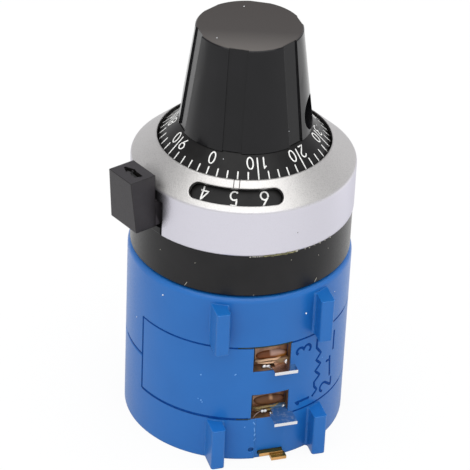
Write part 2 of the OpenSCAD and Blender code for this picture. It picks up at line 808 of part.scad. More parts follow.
// Two gears on one hub: the lower one rolls in the base, the upper one drives the counting ring
module pinion() {
    lower_r = pinion_teeth * fixed_module / 2;
    upper_r = pinion_teeth * moving_module / 2;
    root_drop = 0.34;
    lower_tip = lower_r + 0.3;
    upper_tip = upper_r + 0.28;
    collar_r = 0.95;
    color("khaki") at_azimuth(pinion_az)
    translate([0, -gear_centre, 0]) rotate([0, 0, -90]) difference() {
        union() {
            translate([0, 0, pinion_low]) linear_extrude(gear_t)
                polygon(gear_outline(pinion_teeth, fixed_module, lower_r - root_drop,
                    lower_tip, -tooth_play));
            bar(collar_r, pinion_low + gear_t, upper_pinion);
            translate([0, 0, upper_pinion]) linear_extrude(gear_t)
                polygon(gear_outline(pinion_teeth, moving_module, upper_r - root_drop,
                    upper_tip, -tooth_play));
            bar(collar_r, upper_pinion + gear_t, skirt_low - seat_gap);
        }
        bar(pin_r + run_gap, pinion_low - 1, skirt_low + 1);
    }
}

module counting_ring() {
    tip_r = moving_teeth * moving_module / 2 - 0.25;
    drum_low = base_spigot + 2;
    lip_t = 0.45;
    under_cover = cover_t + cover_gap;
    color("dimgray") difference() {
        rotate_extrude() polygon([
            [tip_r, ring_low], [drum_in, ring_low], [drum_in, drum_low], [drum_out, drum_low],
            [drum_out, ring_low - lip_t],
            [ring_cone_out, bevel_z(ring_cone_out, under_cover) - lip_t],
            [ring_cone_out, bevel_z(ring_cone_out, under_cover)],
            [ring_cone_in, bevel_z(ring_cone_in, under_cover)],
            [ring_cone_in - 0.3, ring_gear_top], [tip_r, ring_gear_top]
        ]);
        ring_gear_cutter(moving_teeth, moving_module, 0.25, 0.38, ring_low - 1, ring_gear_top + 1);
    }
}

// Block outside the cover, neck through its slot and arm inside, with an arrow cut in the top
module brake_lever() {
    half = lever_w / 2;
    arrow_depth = 0.12;
    color("dimgray") at_azimuth(lever_az) difference() {
        union() {
            lever_block(half);
            block([-half, half], [-lever_in - 0.3, -arm_in - 0.35],
                [lever_bottom + seat_gap, arm_top - seat_gap]);
            ring_piece(arm_in, arm_out, arm_low, arm_top, -arm_half, arm_half);
        }
        translate([0, -(lever_out + lever_in) / 2, face + lever_top - arrow_depth])
            linear_extrude(1) direction_arrow();
    }
}

// The lever's grip block: it widens downwards, its outer face slopes in, and it stands askew
module lever_block(half) {
    taper = 0.55;
    draft = 0.28;
    askew = 6;
    top = face + lever_top;
    mid = (lever_out + lever_in) / 2;
    translate([0, -mid, 0]) rotate([0, 0, askew]) intersection() {
        translate([-half - 1, mid, 0]) rotate([90, 0, 90]) linear_extrude(2 * half + 2) polygon([
            [-lever_out, top], [-lever_out + taper, lever_bottom], [-lever_in, lever_bottom],
            [-lever_in, top]
        ]);
        translate([0, mid, 0]) rotate([90, 0, 0]) linear_extrude(lever_out + 1) polygon([
            [-half - draft, lever_bottom], [half + draft, lever_bottom], [half, top], [-half, top]
        ]);
    }
}

// Arrow that points clockwise, the way that locks the dial
module direction_arrow() {
    polygon([
        [-1.15, 0], [-0.35, 0.42], [-0.35, 0.14], [0.15, 0.14], [0.15, 0.3], [1.05, 0.3],
        [1.05, -0.3], [0.15, -0.3], [0.15, -0.14], [-0.35, -0.14], [-0.35, -0.42]
    ]);
}

rear_shell();
front_shell();
terminal_panel();
winding_sleeve();
resistance_winding();
terminal_1();
terminal_2();
terminal_3();
collector_ring();
bushing();
lock_washer();
panel_nut();
dial_base();
dial_cover();
brake_band();
shaft();
retaining_ring();
rotor();
pickup_brush();
thrust_washer();
knob_insert();
knob();
scale_skirt();
set_screws();
pinion_pin();
pinion();
counting_ring();
contact_carriage();
wiper_spring();
brake_lever();
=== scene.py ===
import logging
import math
from collections.abc import Iterator
from contextlib import contextmanager
from dataclasses import dataclass
from enum import IntEnum
from typing import ClassVar

import bpy
from mathutils import Matrix, Vector


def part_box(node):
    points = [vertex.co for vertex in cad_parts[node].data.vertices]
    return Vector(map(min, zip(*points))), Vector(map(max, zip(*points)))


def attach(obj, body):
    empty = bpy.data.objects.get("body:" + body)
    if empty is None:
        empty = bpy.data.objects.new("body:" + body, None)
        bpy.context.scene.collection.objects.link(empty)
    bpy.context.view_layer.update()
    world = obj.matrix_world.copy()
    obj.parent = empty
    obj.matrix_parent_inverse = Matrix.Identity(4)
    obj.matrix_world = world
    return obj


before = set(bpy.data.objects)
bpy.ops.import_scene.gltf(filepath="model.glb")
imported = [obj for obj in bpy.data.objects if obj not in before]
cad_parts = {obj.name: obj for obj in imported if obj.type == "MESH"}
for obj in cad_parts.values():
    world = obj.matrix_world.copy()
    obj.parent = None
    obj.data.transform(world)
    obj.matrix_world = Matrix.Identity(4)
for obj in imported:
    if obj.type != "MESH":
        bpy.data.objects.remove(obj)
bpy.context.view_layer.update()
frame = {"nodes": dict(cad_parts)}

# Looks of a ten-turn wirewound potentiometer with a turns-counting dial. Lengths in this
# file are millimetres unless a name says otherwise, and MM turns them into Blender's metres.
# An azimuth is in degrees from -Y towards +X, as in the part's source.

MM = 0.001
LOG = logging.getLogger("potentiometer")

Colour = tuple[float, float, float, float]
Point = tuple[float, float, float]
Pair = tuple[float, float]
Stroke = list[Pair]
Node = bpy.types.Node
Piece = bpy.types.Object
Socket = bpy.types.NodeSocket
Tree = bpy.types.NodeTree


# Materials

COAT_ROUGHNESS = 0.08
SHADER_SAMPLES = 6
FINE_DETAIL = 2.0
CLOUD_EDGES = (0.35, 0.75)
GRAIN_EDGES = (0.3, 0.7)
EDGE_COSINES = (0.99, 0.8)


class Mix(IntEnum):
    """Input numbers of the colour side of Blender's Mix node."""

    SHARE = 0
    FIRST = 6
    SECOND = 7


def linear(hex_colour: str) -> Colour:
    """Turns an sRGB hex colour into the linear one that a shader takes.

    Args:
        hex_colour: six hex digits after a hash.

    Returns:
        Red, green, blue and an alpha of one.
    """
    parts = [int(hex_colour[i:i + 2], 16) / 255 for i in (1, 3, 5)]
    made = [c / 12.92 if c <= 0.04045 else ((c + 0.055) / 1.055) ** 2.4 for c in parts]
    return (made[0], made[1], made[2], 1.0)


def add(tree: Tree, kind: str, settings: dict | None = None, links: dict | None = None,
        output: str = "") -> Socket | None:
    """Adds one node.

    Args:
        tree: the node tree that takes it.
        kind: Blender's name of the node type, after ShaderNode.
        settings: properties, in lower case, and input values, by socket name or number.
        links: for an input, by name or number, the output socket that feeds it.
        output: name of the wanted output, or nothing for the first one in use.

    Returns:
        The output's socket, if the node has one.
    """
    made = tree.nodes.new(f"ShaderNode{kind}")
    for key, value in (settings or {}).items():
        if isinstance(key, str) and key[0].islower():
            setattr(made, key, value)
        else:
            made.inputs[key].default_value = value
    for key, source in (links or {}).items():
        tree.links.new(source, made.inputs[key])
    if output:
        return made.outputs[output]
    return next((socket for socket in made.outputs if socket.enabled), None)


def stretch(tree: Tree, value: Socket, low: float, high: float, to_low: float = 0.0,
            to_high: float = 1.0) -> Socket:
    """Maps a value's range onto another one, and clamps it there."""
    settings = {"From Min": low, "From Max": high, "To Min": to_low, "To Max": to_high}
    return add(tree, "MapRange", settings, {"Value": value})


def product(tree: Tree, first: Socket, second: Socket) -> Socket:
    """Multiplies two values."""
    return add(tree, "Math", {"operation": "MULTIPLY"}, {0: first, 1: second})


def vector_math(tree: Tree, operation: str, first: Socket, second: Socket | Point) -> Socket:
    """Works on a vector with a second one or, to scale it, a socket with a number."""
    key = "Scale" if operation == "SCALE" else 1
    if isinstance(second, Socket):
        return add(tree, "VectorMath", {"operation": operation}, {0: first, key: second})
    return add(tree, "VectorMath", {"operation": operation, key: second}, {0: first})


def object_place(tree: Tree) -> Socket:
    """Gives the point on the piece, in metres."""
    return add(tree, "TexCoord", output="Object")


def feed(shader: Node, name: str, source: Socket) -> None:
    """Links a socket to one of a shader's inputs."""
    shader.id_data.links.new(source, shader.inputs[name])


def cover(shader: Node, share: Socket, colour: str) -> None:
    """Lays a colour over what the surface shows so far.

    Args:
        shader: the surface's shader.
        share: socket with how much of the colour shows, from 0 to 1.
        colour: the colour in sRGB hex.
    """
    base = shader.inputs["Base Color"]
    settings = {"data_type": "RGBA", Mix.FIRST: base.default_value[:], Mix.SECOND: linear(colour)}
    links = {Mix.SHARE: share}
    if base.is_linked:
        links[Mix.FIRST] = base.links[0].from_socket
    feed(shader, "Base Color", add(shader.id_data, "Mix", settings, links))


def gloss_from(shader: Node, noise: Socket, low: float, high: float) -> None:
    """Lets the roughness follow a noise, from low to high."""
    feed(shader, "Roughness", stretch(shader.id_data, noise, *GRAIN_EDGES, low, high))


def relief(shader: Node, height: Socket, depth: float, strength: float) -> None:
    """Lays a relief on the surface's normal.

    Args:
        shader: the surface's shader.
        height: socket with the relief, from 0 to 1.
        depth: its depth in millimetres.
        strength: how strongly it shows, from 0 to 1.
    """
    normal = shader.inputs["Normal"]
    links = {"Height": height}
    if normal.is_linked:
        links["Normal"] = normal.links[0].from_socket
    settings = {"Strength": strength, "Distance": depth * MM}
    feed(shader, "Normal", add(shader.id_data, "Bump", settings, links))


def object_axis(tree: Tree, axis: str) -> Socket:
    """Gives how far a point on the piece lies along X, Y or Z, in metres."""
    return add(tree, "SeparateXYZ", None, {0: object_place(tree)}, axis)


def speckle(tree: Tree, size: float, detail: float = 3.0) -> Socket:
    """Gives cloudy noise from 0 to 1, by the size of a cloud in millimetres and its finer detail."""
    return add(tree, "TexNoise", {"Scale": 1 / (size * MM), "Detail": detail},
               {"Vector": object_place(tree)})


def level_share(tree: Tree, low: float, high: float) -> Socket:
    """Gives how much a face looks up, from 0 where its normal's Z is low to 1 where it is high."""
    normal = add(tree, "NewGeometry", output="Normal")
    return stretch(tree, add(tree, "SeparateXYZ", None, {0: normal}, "Z"), low, high)


def edge_share(tree: Tree, rounded: Socket, most: float) -> Socket:
    """Gives how much a point lies on an edge, up to the most, from the normal with rounded edges."""
    flat = add(tree, "NewGeometry", output="Normal")
    return stretch(tree, vector_math(tree, "DOT_PRODUCT", rounded, flat), *EDGE_COSINES, 0.0, most)


def closed_share(tree: Tree, reach: float, start: float, full: float, most: float,
                 samples: int = SHADER_SAMPLES) -> Socket:
    """Gives how closed in a point is by faces near it.

    Args:
        tree: the node tree.
        reach: how far off a face still counts, in millimetres.
        start: the openness at which the share begins, where 1 is all open.
        full: the openness at which it is at its most.
        most: its highest value.
        samples: how many rays look for faces.

    Returns:
        Socket with the share.
    """
    openness = add(tree, "AmbientOcclusion", {"samples": samples, "Distance": reach * MM}, output="AO")
    return stretch(tree, openness, start, full, 0.0, most)


@dataclass(frozen=True)
class Finish:
    """A surface: its common name, its colour and how it takes the light."""

    name: str
    colour: str
    roughness: float
    metallic: float = 0.0
    ior: float = 1.5
    coat: float = 0.0
    glancing_tint: str = "#FFFFFF"
    edge_radius: float = 0.05

    def material(self) -> bpy.types.Material:
        """Gives the Blender material, made the first time it is asked for."""
        made = bpy.data.materials.get(self.name)
        if made is None:
            made = bpy.data.materials.new(self.name)
            made.use_nodes = True
            shader = made.node_tree.nodes["Principled BSDF"]
            for name, value in {"Base Color": linear(self.colour), "Roughness": self.roughness,
                                "Metallic": self.metallic, "IOR": self.ior, "Coat Weight": self.coat,
                                "Coat Roughness": COAT_ROUGHNESS,
                                "Specular Tint": linear(self.glancing_tint)}.items():
                shader.inputs[name].default_value = value
            self.pattern(made.node_tree, shader)
        return made

    def rounded(self, tree: Tree) -> Socket:
        """Gives the normal with the edges rounded."""
        return add(tree, "Bevel", {"samples": SHADER_SAMPLES, "Radius": self.edge_radius * MM})

    def pattern(self, tree: Tree, shader: Node) -> None:
        """Adds what the surface shows beyond colour and gloss."""
        feed(shader, "Normal", self.rounded(tree))


@dataclass(frozen=True)
class MouldedPlastic(Finish):
    """Moulded plastic: a little mottled, with a fine mould texture, a painted highlight on edges that catch
    light, and painted shade in seams.
    """

    edge_colour: str = "#808080"
    edge_strength: float = 0.5
    mottle: str = "#000000"
    mottle_strength: float = 0.2
    mottle_size: float = 3.0
    texture_size: float = 0.15
    texture_depth: float = 0.004
    crevice: str = "#000000"
    crevice_strength: float = 0.0
    crevice_reach: float = 0.4
    crevice_openness: Pair = (0.6, 0.2)

    def clouds(self, tree: Tree) -> Socket:
        """Gives where the colour is mottled."""
        return stretch(tree, speckle(tree, self.mottle_size), *CLOUD_EDGES, 0, self.mottle_strength)

    def pattern(self, tree: Tree, shader: Node) -> None:
        """Mottles the colour, paints a highlight on edges, paints shade into seams and lays the mould's
        texture on it.
        """
        cover(shader, self.clouds(tree), self.mottle)
        rounded = self.rounded(tree)
        # Painted highlight (painted shade where the edge tone is dark): the edge tone goes where the rounded
        # normal leaves the flat one.
        cover(shader, edge_share(tree, rounded, self.edge_strength), self.edge_colour)
        # Painted shade: darkens faces that nearby faces close in, in seams and recesses.
        if self.crevice_strength > 0:
            seams = closed_share(tree, self.crevice_reach, *self.crevice_openness, self.crevice_strength)
            cover(shader, seams, self.crevice)
        grain = speckle(tree, self.texture_size, FINE_DETAIL)
        gloss_from(shader, grain, self.roughness - 0.05, self.roughness + 0.07)
        feed(shader, "Normal", rounded)
        relief(shader, grain, self.texture_depth, 0.6)


@dataclass(frozen=True)
class KnobPlastic(MouldedPlastic):
    """Moulded knob plastic, polished round its side and left satin on its slightly dished top."""

    top_colour: str = "#3B3735"
    front_colour: str = "#595552"
    front_way: Point = (-0.31, -0.95, 0.0)
    front_span: Pair = (1.2, 5.0)
    top_roughness: float = 0.5
    top_height: float = 42.66
    top_depth: float = 0.03
    dish: float = 16.0
    fine_grain: float = 0.12

    def pattern(self, tree: Tree, shader: Node) -> None:
        """Adds the satin top, with a painted reflection that pales it towards the front, to the polished
        side.
        """
        cover(shader, self.clouds(tree), self.mottle)
        top = stretch(tree, object_axis(tree, "Z"), (self.top_height - self.top_depth) * MM,
                      self.top_height * MM)
        cover(shader, top, self.top_colour)
        # Painted reflection: the top takes a paler colour towards the front.
        place = object_place(tree)
        along = vector_math(tree, "DOT_PRODUCT", place, self.front_way)
        front = stretch(tree, along, *(value * MM for value in self.front_span))
        cover(shader, product(tree, top, front), self.front_colour)
        grain = speckle(tree, self.fine_grain, FINE_DETAIL)
        gloss = stretch(tree, grain, *GRAIN_EDGES, self.roughness - 0.02, self.roughness + 0.04)
        feed(shader, "Roughness", add(tree, "Mix", {"data_type": "FLOAT", 3: self.top_roughness},
                                      {0: top, 2: gloss}))
        inwards = vector_math(tree, "MULTIPLY", place, (-self.dish, -self.dish, 0.0))
        on_top = vector_math(tree, "SCALE", inwards, top)
        tilted = vector_math(tree, "ADD", self.rounded(tree), on_top)
        feed(shader, "Normal", add(tree, "VectorMath", {"operation": "NORMALIZE"}, {0: tilted}))
        relief(shader, grain, 0.002, 0.5)


@dataclass(frozen=True)
class LeverPlastic(MouldedPlastic):
    """Textured plastic with black paint in the arrow that is cut in its top."""

    paint: str = "#060606"
    arrow_heights: Pair = (29.9, 30.1)
    fade: float = 0.02

    def pattern(self, tree: Tree, shader: Node) -> None:
        """Paints the level floor of the arrow."""
        super().pattern(tree, shader)
        height = object_axis(tree, "Z")
        low, high, fade = (value * MM for value in (*self.arrow_heights, self.fade))
        floor = level_share(tree, 0.8, 0.95)
        for start, full in ((low, low + fade), (high, high - fade)):
            floor = product(tree, floor, stretch(tree, height, start, full))
        cover(shader, floor, self.paint)


@dataclass(frozen=True)
class SprayedMetal(Finish):
    """Metal sprayed satin silver: a fine grain of flakes on the bevel, calmer on the wall, which is painted
    paler as a painted reflection and darkened near the lever as painted shade.
    """

    wall_colour: str = "#E7E5EF"
    wall_height: float = 28.45
    wall_fade: float = 0.3
    grain: str = "#8C8A88"
    grain_size: float = 0.12
    grain_strength: float = 0.25
    shade: str = "#1E1D1C"
    shade_reach: float = 4.5
    shade_openness: Pair = (0.86, 0.72)
    shade_strength: float = 0.94
    shade_samples: int = 8

    def pattern(self, tree: Tree, shader: Node) -> None:
        """Lays the flakes in colour, gloss and relief, paints the wall paler as a painted reflection, and
        paints shade on the wall close to the lever.
        """
        edge = self.wall_height * MM
        bevel = stretch(tree, object_axis(tree, "Z"), edge, edge + self.wall_fade * MM)
        wall, grained, shaded, rough = (stretch(tree, bevel, 0, 1, on_wall, on_bevel) for on_wall, on_bevel
                                        in ((1, 0), (0.2, 1), (1, 0.3), (0.15, 1)))
        # Painted reflection: the wall takes a paler, cooler colour than the bevel of the same metal.
        cover(shader, wall, self.wall_colour)
        flakes = speckle(tree, self.grain_size, FINE_DETAIL)
        specks = stretch(tree, flakes, 0.45, 0.7, 0, self.grain_strength)
        cover(shader, product(tree, specks, grained), self.grain)
        # Painted shade: the wall darkens where the lever and the slot close it in.
        close = closed_share(tree, self.shade_reach, *self.shade_openness, self.shade_strength,
                             self.shade_samples)
        cover(shader, product(tree, close, shaded), self.shade)
        gloss_from(shader, flakes, self.roughness + 0.06, self.roughness - 0.06)
        feed(shader, "Normal", self.rounded(tree))
        relief(shader, product(tree, flakes, rough), 0.03, 0.7)


@dataclass(frozen=True)
class WorkedMetal(Finish):
    """Bare or plated metal with fine lines from rolling or turning."""

    line_colour: str = "#606060"
    line_size: float = 0.06
    line_strength: float = 0.3
    line_stretch: float = 8.0
    line_edges: Pair = (0.4, 0.75)
    line_depth: float = 0.003

    def pattern(self, tree: Tree, shader: Node) -> None:
        """Draws the lines in colour, gloss and relief."""
        place = add(tree, "Mapping", {"Scale": (1.0, 1.0, self.line_stretch)},
                    {"Vector": object_place(tree)})
        lines = add(tree, "TexNoise", {"Scale": 1 / (self.line_stretch * self.line_size * MM),
                                       "Detail": 3.0}, {"Vector": place})
        cover(shader, stretch(tree, lines, *self.line_edges, 0, self.line_strength), self.line_colour)
        gloss_from(shader, lines, self.roughness - 0.04, self.roughness + 0.08)
        feed(shader, "Normal", self.rounded(tree))
        relief(shader, lines, self.line_depth, 0.5)


@dataclass(frozen=True)
class FilmedMetal(WorkedMetal):
    """Stamped metal whose upper side takes a colour of its own: a dull film of flux or lacquer on the brass
    strip, a painted reflection on the tin lugs.
    """

    film_colour: str = "#5F5A2C"
    film_metallic: float = 0.3
    film_roughness: float = 0.35
    patch_size: float = 0.35

    def pattern(self, tree: Tree, shader: Node) -> None:
        """Lays the film, which on the tin lugs is a painted reflection, on the faces that look up."""
        super().pattern(tree, shader)
        # On the tin lugs this is a painted reflection: the upward faces take the colour of what they mirror.
        patches = stretch(tree, speckle(tree, self.patch_size), 0.3, 0.5, 0.88, 1.0)
        film = product(tree, level_share(tree, 0.4, 0.8), patches)
        cover(shader, film, self.film_colour)
        for name, bare, filmed in (("Metallic", self.metallic, self.film_metallic),
                                   ("Roughness", self.roughness, self.film_roughness)):
            feed(shader, name, stretch(tree, film, 0, 1, bare, filmed))


@dataclass(frozen=True)
class Lacquer(Finish):
    """Clear brown lacquer over a wound core: amber where it is thick, copper where it is thin. The
    window-edge strips and lug feet use it for painted shadow and painted reflections.
    """

    thin_colour: str = "#B5713A"
    pool_size: float = 0.9
    pool_edges: Pair = (0.42, 0.68)
    pool_depth: float = 0.06

    def pattern(self, tree: Tree, shader: Node) -> None:
        """Pools the lacquer and dims its gloss here and there."""
        pools = speckle(tree, self.pool_size, 4.0)
        cover(shader, stretch(tree, pools, *self.pool_edges), self.thin_colour)
        gloss_from(shader, pools, self.roughness + 0.1, self.roughness)
        relief(shader, pools, self.pool_depth, 0.5)


@dataclass(frozen=True)
class LacqueredCopper(Finish):
    """Copper under brown lacquer, with a painted highlight along one stretch of its upper side, from one x to
    another.
    """

    clear_colour: str = "#B99484"
    amber_colour: str = "#96601F"
    clear_span: Pair = (-0.15, 1.9)
    soft: float = 0.12
    patch_size: float = 1.1

    def pattern(self, tree: Tree, shader: Node) -> None:
        """Paints a highlight on the upper side in its stretch and warms the lower side to the right."""
        across = object_axis(tree, "X")
        start, end = self.clear_span
        amber = stretch(tree, across, (start + 0.4) * MM, (start + 1.0) * MM)
        patches = stretch(tree, speckle(tree, self.patch_size), 0.4, 0.65, 0.6, 1.0)
        cover(shader, product(tree, amber, patches), self.amber_colour)
        # Painted highlight: upward faces within the stretch take a pale colour.
        clear = level_share(tree, 0.05, 0.4)
        for low, high in ((start - self.soft, start + self.soft), (end + self.soft, end - self.soft)):
            clear = product(tree, clear, stretch(tree, across, low * MM, high * MM))
        cover(shader, clear, self.clear_colour)
        relief(shader, speckle(tree, 0.5), 0.05, 0.4)


@dataclass(frozen=True)
class WoundWire(Finish):
    """Fine resistance wire wound close on a core, so the turns show as cross lines."""

    gap_colour: str = "#4A2C18"
    turns_round: float = 420.0

    def pattern(self, tree: Tree, shader: Node) -> None:
        """Draws the turns as lines of equal azimuth."""
        angle = add(tree, "TexGradient", {"gradient_type": "RADIAL"},
                    {"Vector": object_place(tree)}, "Fac")
        turns = add(tree, "Math", {"operation": "MULTIPLY", 1: self.turns_round}, {0: angle})
        wave = add(tree, "Math", {"operation": "PINGPONG", 1: 0.5}, {0: turns})
        cover(shader, stretch(tree, wave, 0.0, 0.25, 1, 0), self.gap_colour)
        relief(shader, wave, 0.03, 0.8)


@dataclass(frozen=True)
class PrintedPaint(Finish):
    """Paint laid in thin lines, a little uneven in colour."""

    worn_colour: str = "#C8C8C4"
    worn_size: float = 0.2
    worn_strength: float = 0.7

    def pattern(self, tree: Tree, shader: Node) -> None:
        """Makes the paint uneven."""
        worn = stretch(tree, speckle(tree, self.worn_size), 0.45, 0.75, 0, self.worn_strength)
        cover(shader, worn, self.worn_colour)


# Diallyl phthalate, compression moulded: mid blue, satin, with a painted highlight where edges catch the
# light and painted shade in crevices
HOUSING_BLUE = MouldedPlastic("moulded_dap_blue", "#1867B4", 0.34, ior=1.45, edge_radius=0.14,
                              edge_colour="#3F8FE0", edge_strength=0.6, mottle="#145BA4",
                              mottle_strength=0.3, mottle_size=4.0, crevice="#05305F",
                              crevice_strength=0.85)
# Phenolic, moulded and tumbled: near-black satin, with a painted highlight on its edges
DIAL_BLACK = MouldedPlastic("moulded_phenolic_black", "#0D0C0E", 0.33, ior=1.4, edge_radius=0.12,
                            edge_colour="#3A383C", mottle="#1B191B", mottle_strength=0.6)
# Phenolic, polished in the mould: black with a clean gloss on the flanks, satin on top, the top paler towards
# the front as a painted reflection
KNOB_BLACK = KnobPlastic("polished_phenolic_black", "#111113", 0.15, ior=1.38, edge_radius=0.07,
                         mottle="#18171A", mottle_strength=0.5, top_roughness=0.55)
# ABS with a fine sprayed texture: matte black, its edges darkened as painted shade
LEVER_BLACK = LeverPlastic("textured_abs_black", "#262327", 0.44, edge_radius=0.16,
                           edge_colour="#0A0809", edge_strength=1.0, mottle="#2E2B2E",
                           mottle_strength=0.6, mottle_size=0.8, texture_size=0.1, texture_depth=0.01)
# The same plastic on the lever's root, painted paler as painted light against the shade in the cover's slot,
# with a painted highlight on its edges
ROOT_PAINTED_PALER = LeverPlastic("abs_black_painted_paler", "#4A464B", 0.5, mottle="#464247", mottle_strength=0.5)
# Black paint in the lever's arrow
ARROW_BLACK = PrintedPaint("arrow_black_paint", "#080707", 0.8, ior=1.1, worn_colour="#121010")
# Aluminium, turned, blacked and printed: matte with faint turning marks, and a painted highlight on its edges
SCALE_BLACK = MouldedPlastic("blacked_aluminium", "#0B0A0A", 0.34, ior=1.34, edge_colour="#2A2929",
                             mottle="#1C1B1A", mottle_strength=0.7, mottle_size=1.6)
# Zinc alloy cover, sprayed satin silver: fine metallic grain, a painted reflection on the wall and painted
# shade beside the lever
COVER_SILVER = SprayedMetal("sprayed_satin_silver", "#D6D4D1", 0.36, metallic=0.95,
                            glancing_tint="#C6C6CA", edge_radius=0.2)
# White screen ink
SCALE_WHITE = PrintedPaint("screen_ink_white", "#F4F4F2", 0.5)
# Dark blue paint left in shallow engraving
ENGRAVED_BLUE = PrintedPaint("engraving_dark_blue", "#0C3C84", 0.6, ior=1.1, worn_colour="#124C98")
# Shadow and dust in the seams between the mouldings
SEAM_SHADOW = PrintedPaint("seam_shadow_blue", "#0C3A80", 0.6, ior=1.1, worn_colour="#12509C")
# Painted shadow line in the engraved index; the same dark paint colours a speck on the cover
INDEX_DARK = PrintedPaint("index_shadow_and_speck", "#3A3735", 0.6, worn_colour="#6B6763")
# Brown insulating lacquer brushed over the sleeve
SLEEVE_LACQUER = Lacquer("insulating_lacquer", "#80543A", 0.24, coat=0.5, thin_colour="#B48662")
# Dull lacquer run down on sills, jambs and lug feet
DULL_LACQUER = Lacquer("dull_brown_lacquer", "#5A4632", 0.32, coat=0.3, thin_colour="#8A6248",
                       pool_size=0.6)
# Olive stain where lacquer crept into the seams, made dark enough to be painted shade along the upper
# window's top edge
STAIN_AND_SHADE = Lacquer("olive_stain_and_painted_shade", "#25382F", 0.5, ior=1.2, thin_colour="#454632",
                        pool_size=0.3)
# Copper turn of the winding under brown lacquer, with a painted highlight over most of the upper turn
LACQUERED_TURN = LacqueredCopper("lacquered_copper_turn", "#74401E", 0.4, ior=1.35,
                                 clear_span=(0.35, 1.9))
# The same turn where the lacquer lies thick, with a painted highlight at one spot
THICK_TURN = LacqueredCopper("thickly_lacquered_turn", "#6E482C", 0.45, ior=1.35,
                             clear_colour="#C89870", amber_colour="#7B523C", clear_span=(0.5, 0.8))
# Copper strand, tinned thin, under clear lacquer, painted pale peach as a painted highlight on its copper
LACQUERED_STRAND = Lacquer("lacquered_copper_strand", "#DDB38F", 0.35, coat=0.3,
                           thin_colour="#C9A57F", pool_size=1.6)
# Strand under thick olive lacquer
OLIVE_STRAND = Lacquer("olive_lacquered_strand", "#86703F", 0.4, thin_colour="#94805A", pool_size=0.7)
# Painted shadow: a dark strip along the window's top and left edges, where the panel shades the sleeve
WINDOW_EDGE_SHADOW = Lacquer("painted_window_edge_shadow", "#26251F", 0.5, thin_colour="#3C382A", pool_size=0.5)
# Sheet over the foot of the lower lug, painted blue as a painted reflection of the housing round it
FOOT_WITH_BLUE_REFLECTION = Lacquer("foot_painted_blue_reflection", "#3F5F80", 0.3, thin_colour="#54708A", pool_size=0.6)
# Sheet over the foot of the upper lug, painted olive brown as a painted reflection of the lacquer round it
FOOT_WITH_BROWN_REFLECTION = Lacquer("foot_painted_brown_reflection", "#8A7048", 0.34, coat=0.2, thin_colour="#86604C",
                      pool_size=0.5)
# Dull wire end with flux on it
FLUXED_WIRE = Lacquer("fluxed_wire_end", "#85706A", 0.4, thin_colour="#6A5650", pool_size=0.3)
# Tin plate on the upper lug, its upper side tinted pale warm as a painted reflection of the brown lacquer
# round it
TIN_WITH_BROWN_REFLECTION = FilmedMetal("tin_with_painted_brown_reflection", "#F8F8FA", 0.14, metallic=1.0,
                               line_colour="#C8C8CC", line_strength=0.15, film_colour="#F0E2DA",
                               film_metallic=1.0, film_roughness=0.22)
# Tin plate on the lower lug, its upper side painted blue as a painted reflection of the housing above it
TIN_WITH_BLUE_REFLECTION = FilmedMetal("tin_with_painted_blue_reflection", "#F8F8FA", 0.14, metallic=1.0,
                              line_colour="#C8C8CC", line_strength=0.15, film_colour="#2C5A94",
                              film_metallic=0.0, film_roughness=0.45)
# Lead-tin solder, frozen glossy
SOLDER = WorkedMetal("solder", "#F0F0F0", 0.18, metallic=0.9, line_colour="#B0B0B4", line_size=0.2)
# Sheared brass strip with thin, yellowed tin on it
BRASS_STRIP = FilmedMetal("sheared_brass", "#F0B878", 0.24, metallic=1.0, line_colour="#A08A48",
                          line_size=0.12, line_strength=0.6, film_colour="#5C5524",
                          film_metallic=0.6, film_roughness=0.3)
# Turned and stamped contact brass
CONTACT_BRASS = WorkedMetal("turned_brass", "#D9B25F", 0.25, metallic=1.0, line_colour="#9B7A3C")
# Nickel plate on turned steel
NICKEL_PLATE = WorkedMetal("nickel_plate", "#CFCCC6", 0.24, metallic=1.0, line_colour="#98958F")
# Blued spring steel
SPRING_STEEL = WorkedMetal("blued_spring_steel", "#6B6E76", 0.3, metallic=1.0, line_colour="#3E4048")
# Black oxide on screws
BLACK_OXIDE = WorkedMetal("black_oxide_steel", "#2A2A2C", 0.35, metallic=1.0, line_colour="#1A1A1C")
# Nylon, natural colour, moulded, with a painted highlight on its edges
NATURAL_NYLON = MouldedPlastic("moulded_nylon_natural", "#E4DBC4", 0.42, edge_colour="#F4EEDC",
                               mottle="#D8CCAE", mottle_strength=0.4)
# Resistance wire on a varnished copper core
WOUND_CORE = WoundWire("wound_resistance_wire", "#B98A55", 0.3, metallic=1.0)
# Pale dust and mould flash that stick to the plastic
PALE_DUST = PrintedPaint("pale_dust", "#E9ECEF", 0.7, worn_colour="#B9C4CE")
# Pale blue marks: scuffs where the blue plastic is bruised pale, and a pale streak down the recess edge
PALE_SCUFF = PrintedPaint("bruised_blue", "#6FA6E0", 0.5, worn_colour="#3F84CC")
# Thin flakes of the silver spray, broken off along an edge
SILVER_FLAKE = PrintedPaint("silver_spray_flake", "#B4B1A6", 0.6, worn_colour="#8C8878")
# The same spray, yellowed and dirty along the worn edge
DIRTY_FLAKE = PrintedPaint("dirty_spray_flake", "#8F8B62", 0.6, worn_colour="#55523C")


# Modelling

WELD = 1e-7
LONGEST_STEP = 0.3
CURVE_STEPS = 10
BLOCK_CUTS = 12
FLECK_ROUGHNESS = 0.09
FLECK_TURN = 0.4


def deselect_all() -> None:
    """Leaves nothing selected, so that an operator acts on what is chosen next."""
    if bpy.context.object is not None and bpy.context.object.mode != "OBJECT":
        bpy.ops.object.mode_set(mode="OBJECT")
    bpy.ops.object.select_all(action="DESELECT")


def choose(piece: Piece) -> None:
    """Selects one object and makes it the active one."""
    deselect_all()
    piece.select_set(True)
    bpy.context.view_layer.objects.active = piece


def settle(piece: Piece) -> Piece:
    """Puts a piece's place, turn and size into its mesh."""
    choose(piece)
    bpy.ops.object.transform_apply(location=True, rotation=True, scale=True)
    return piece


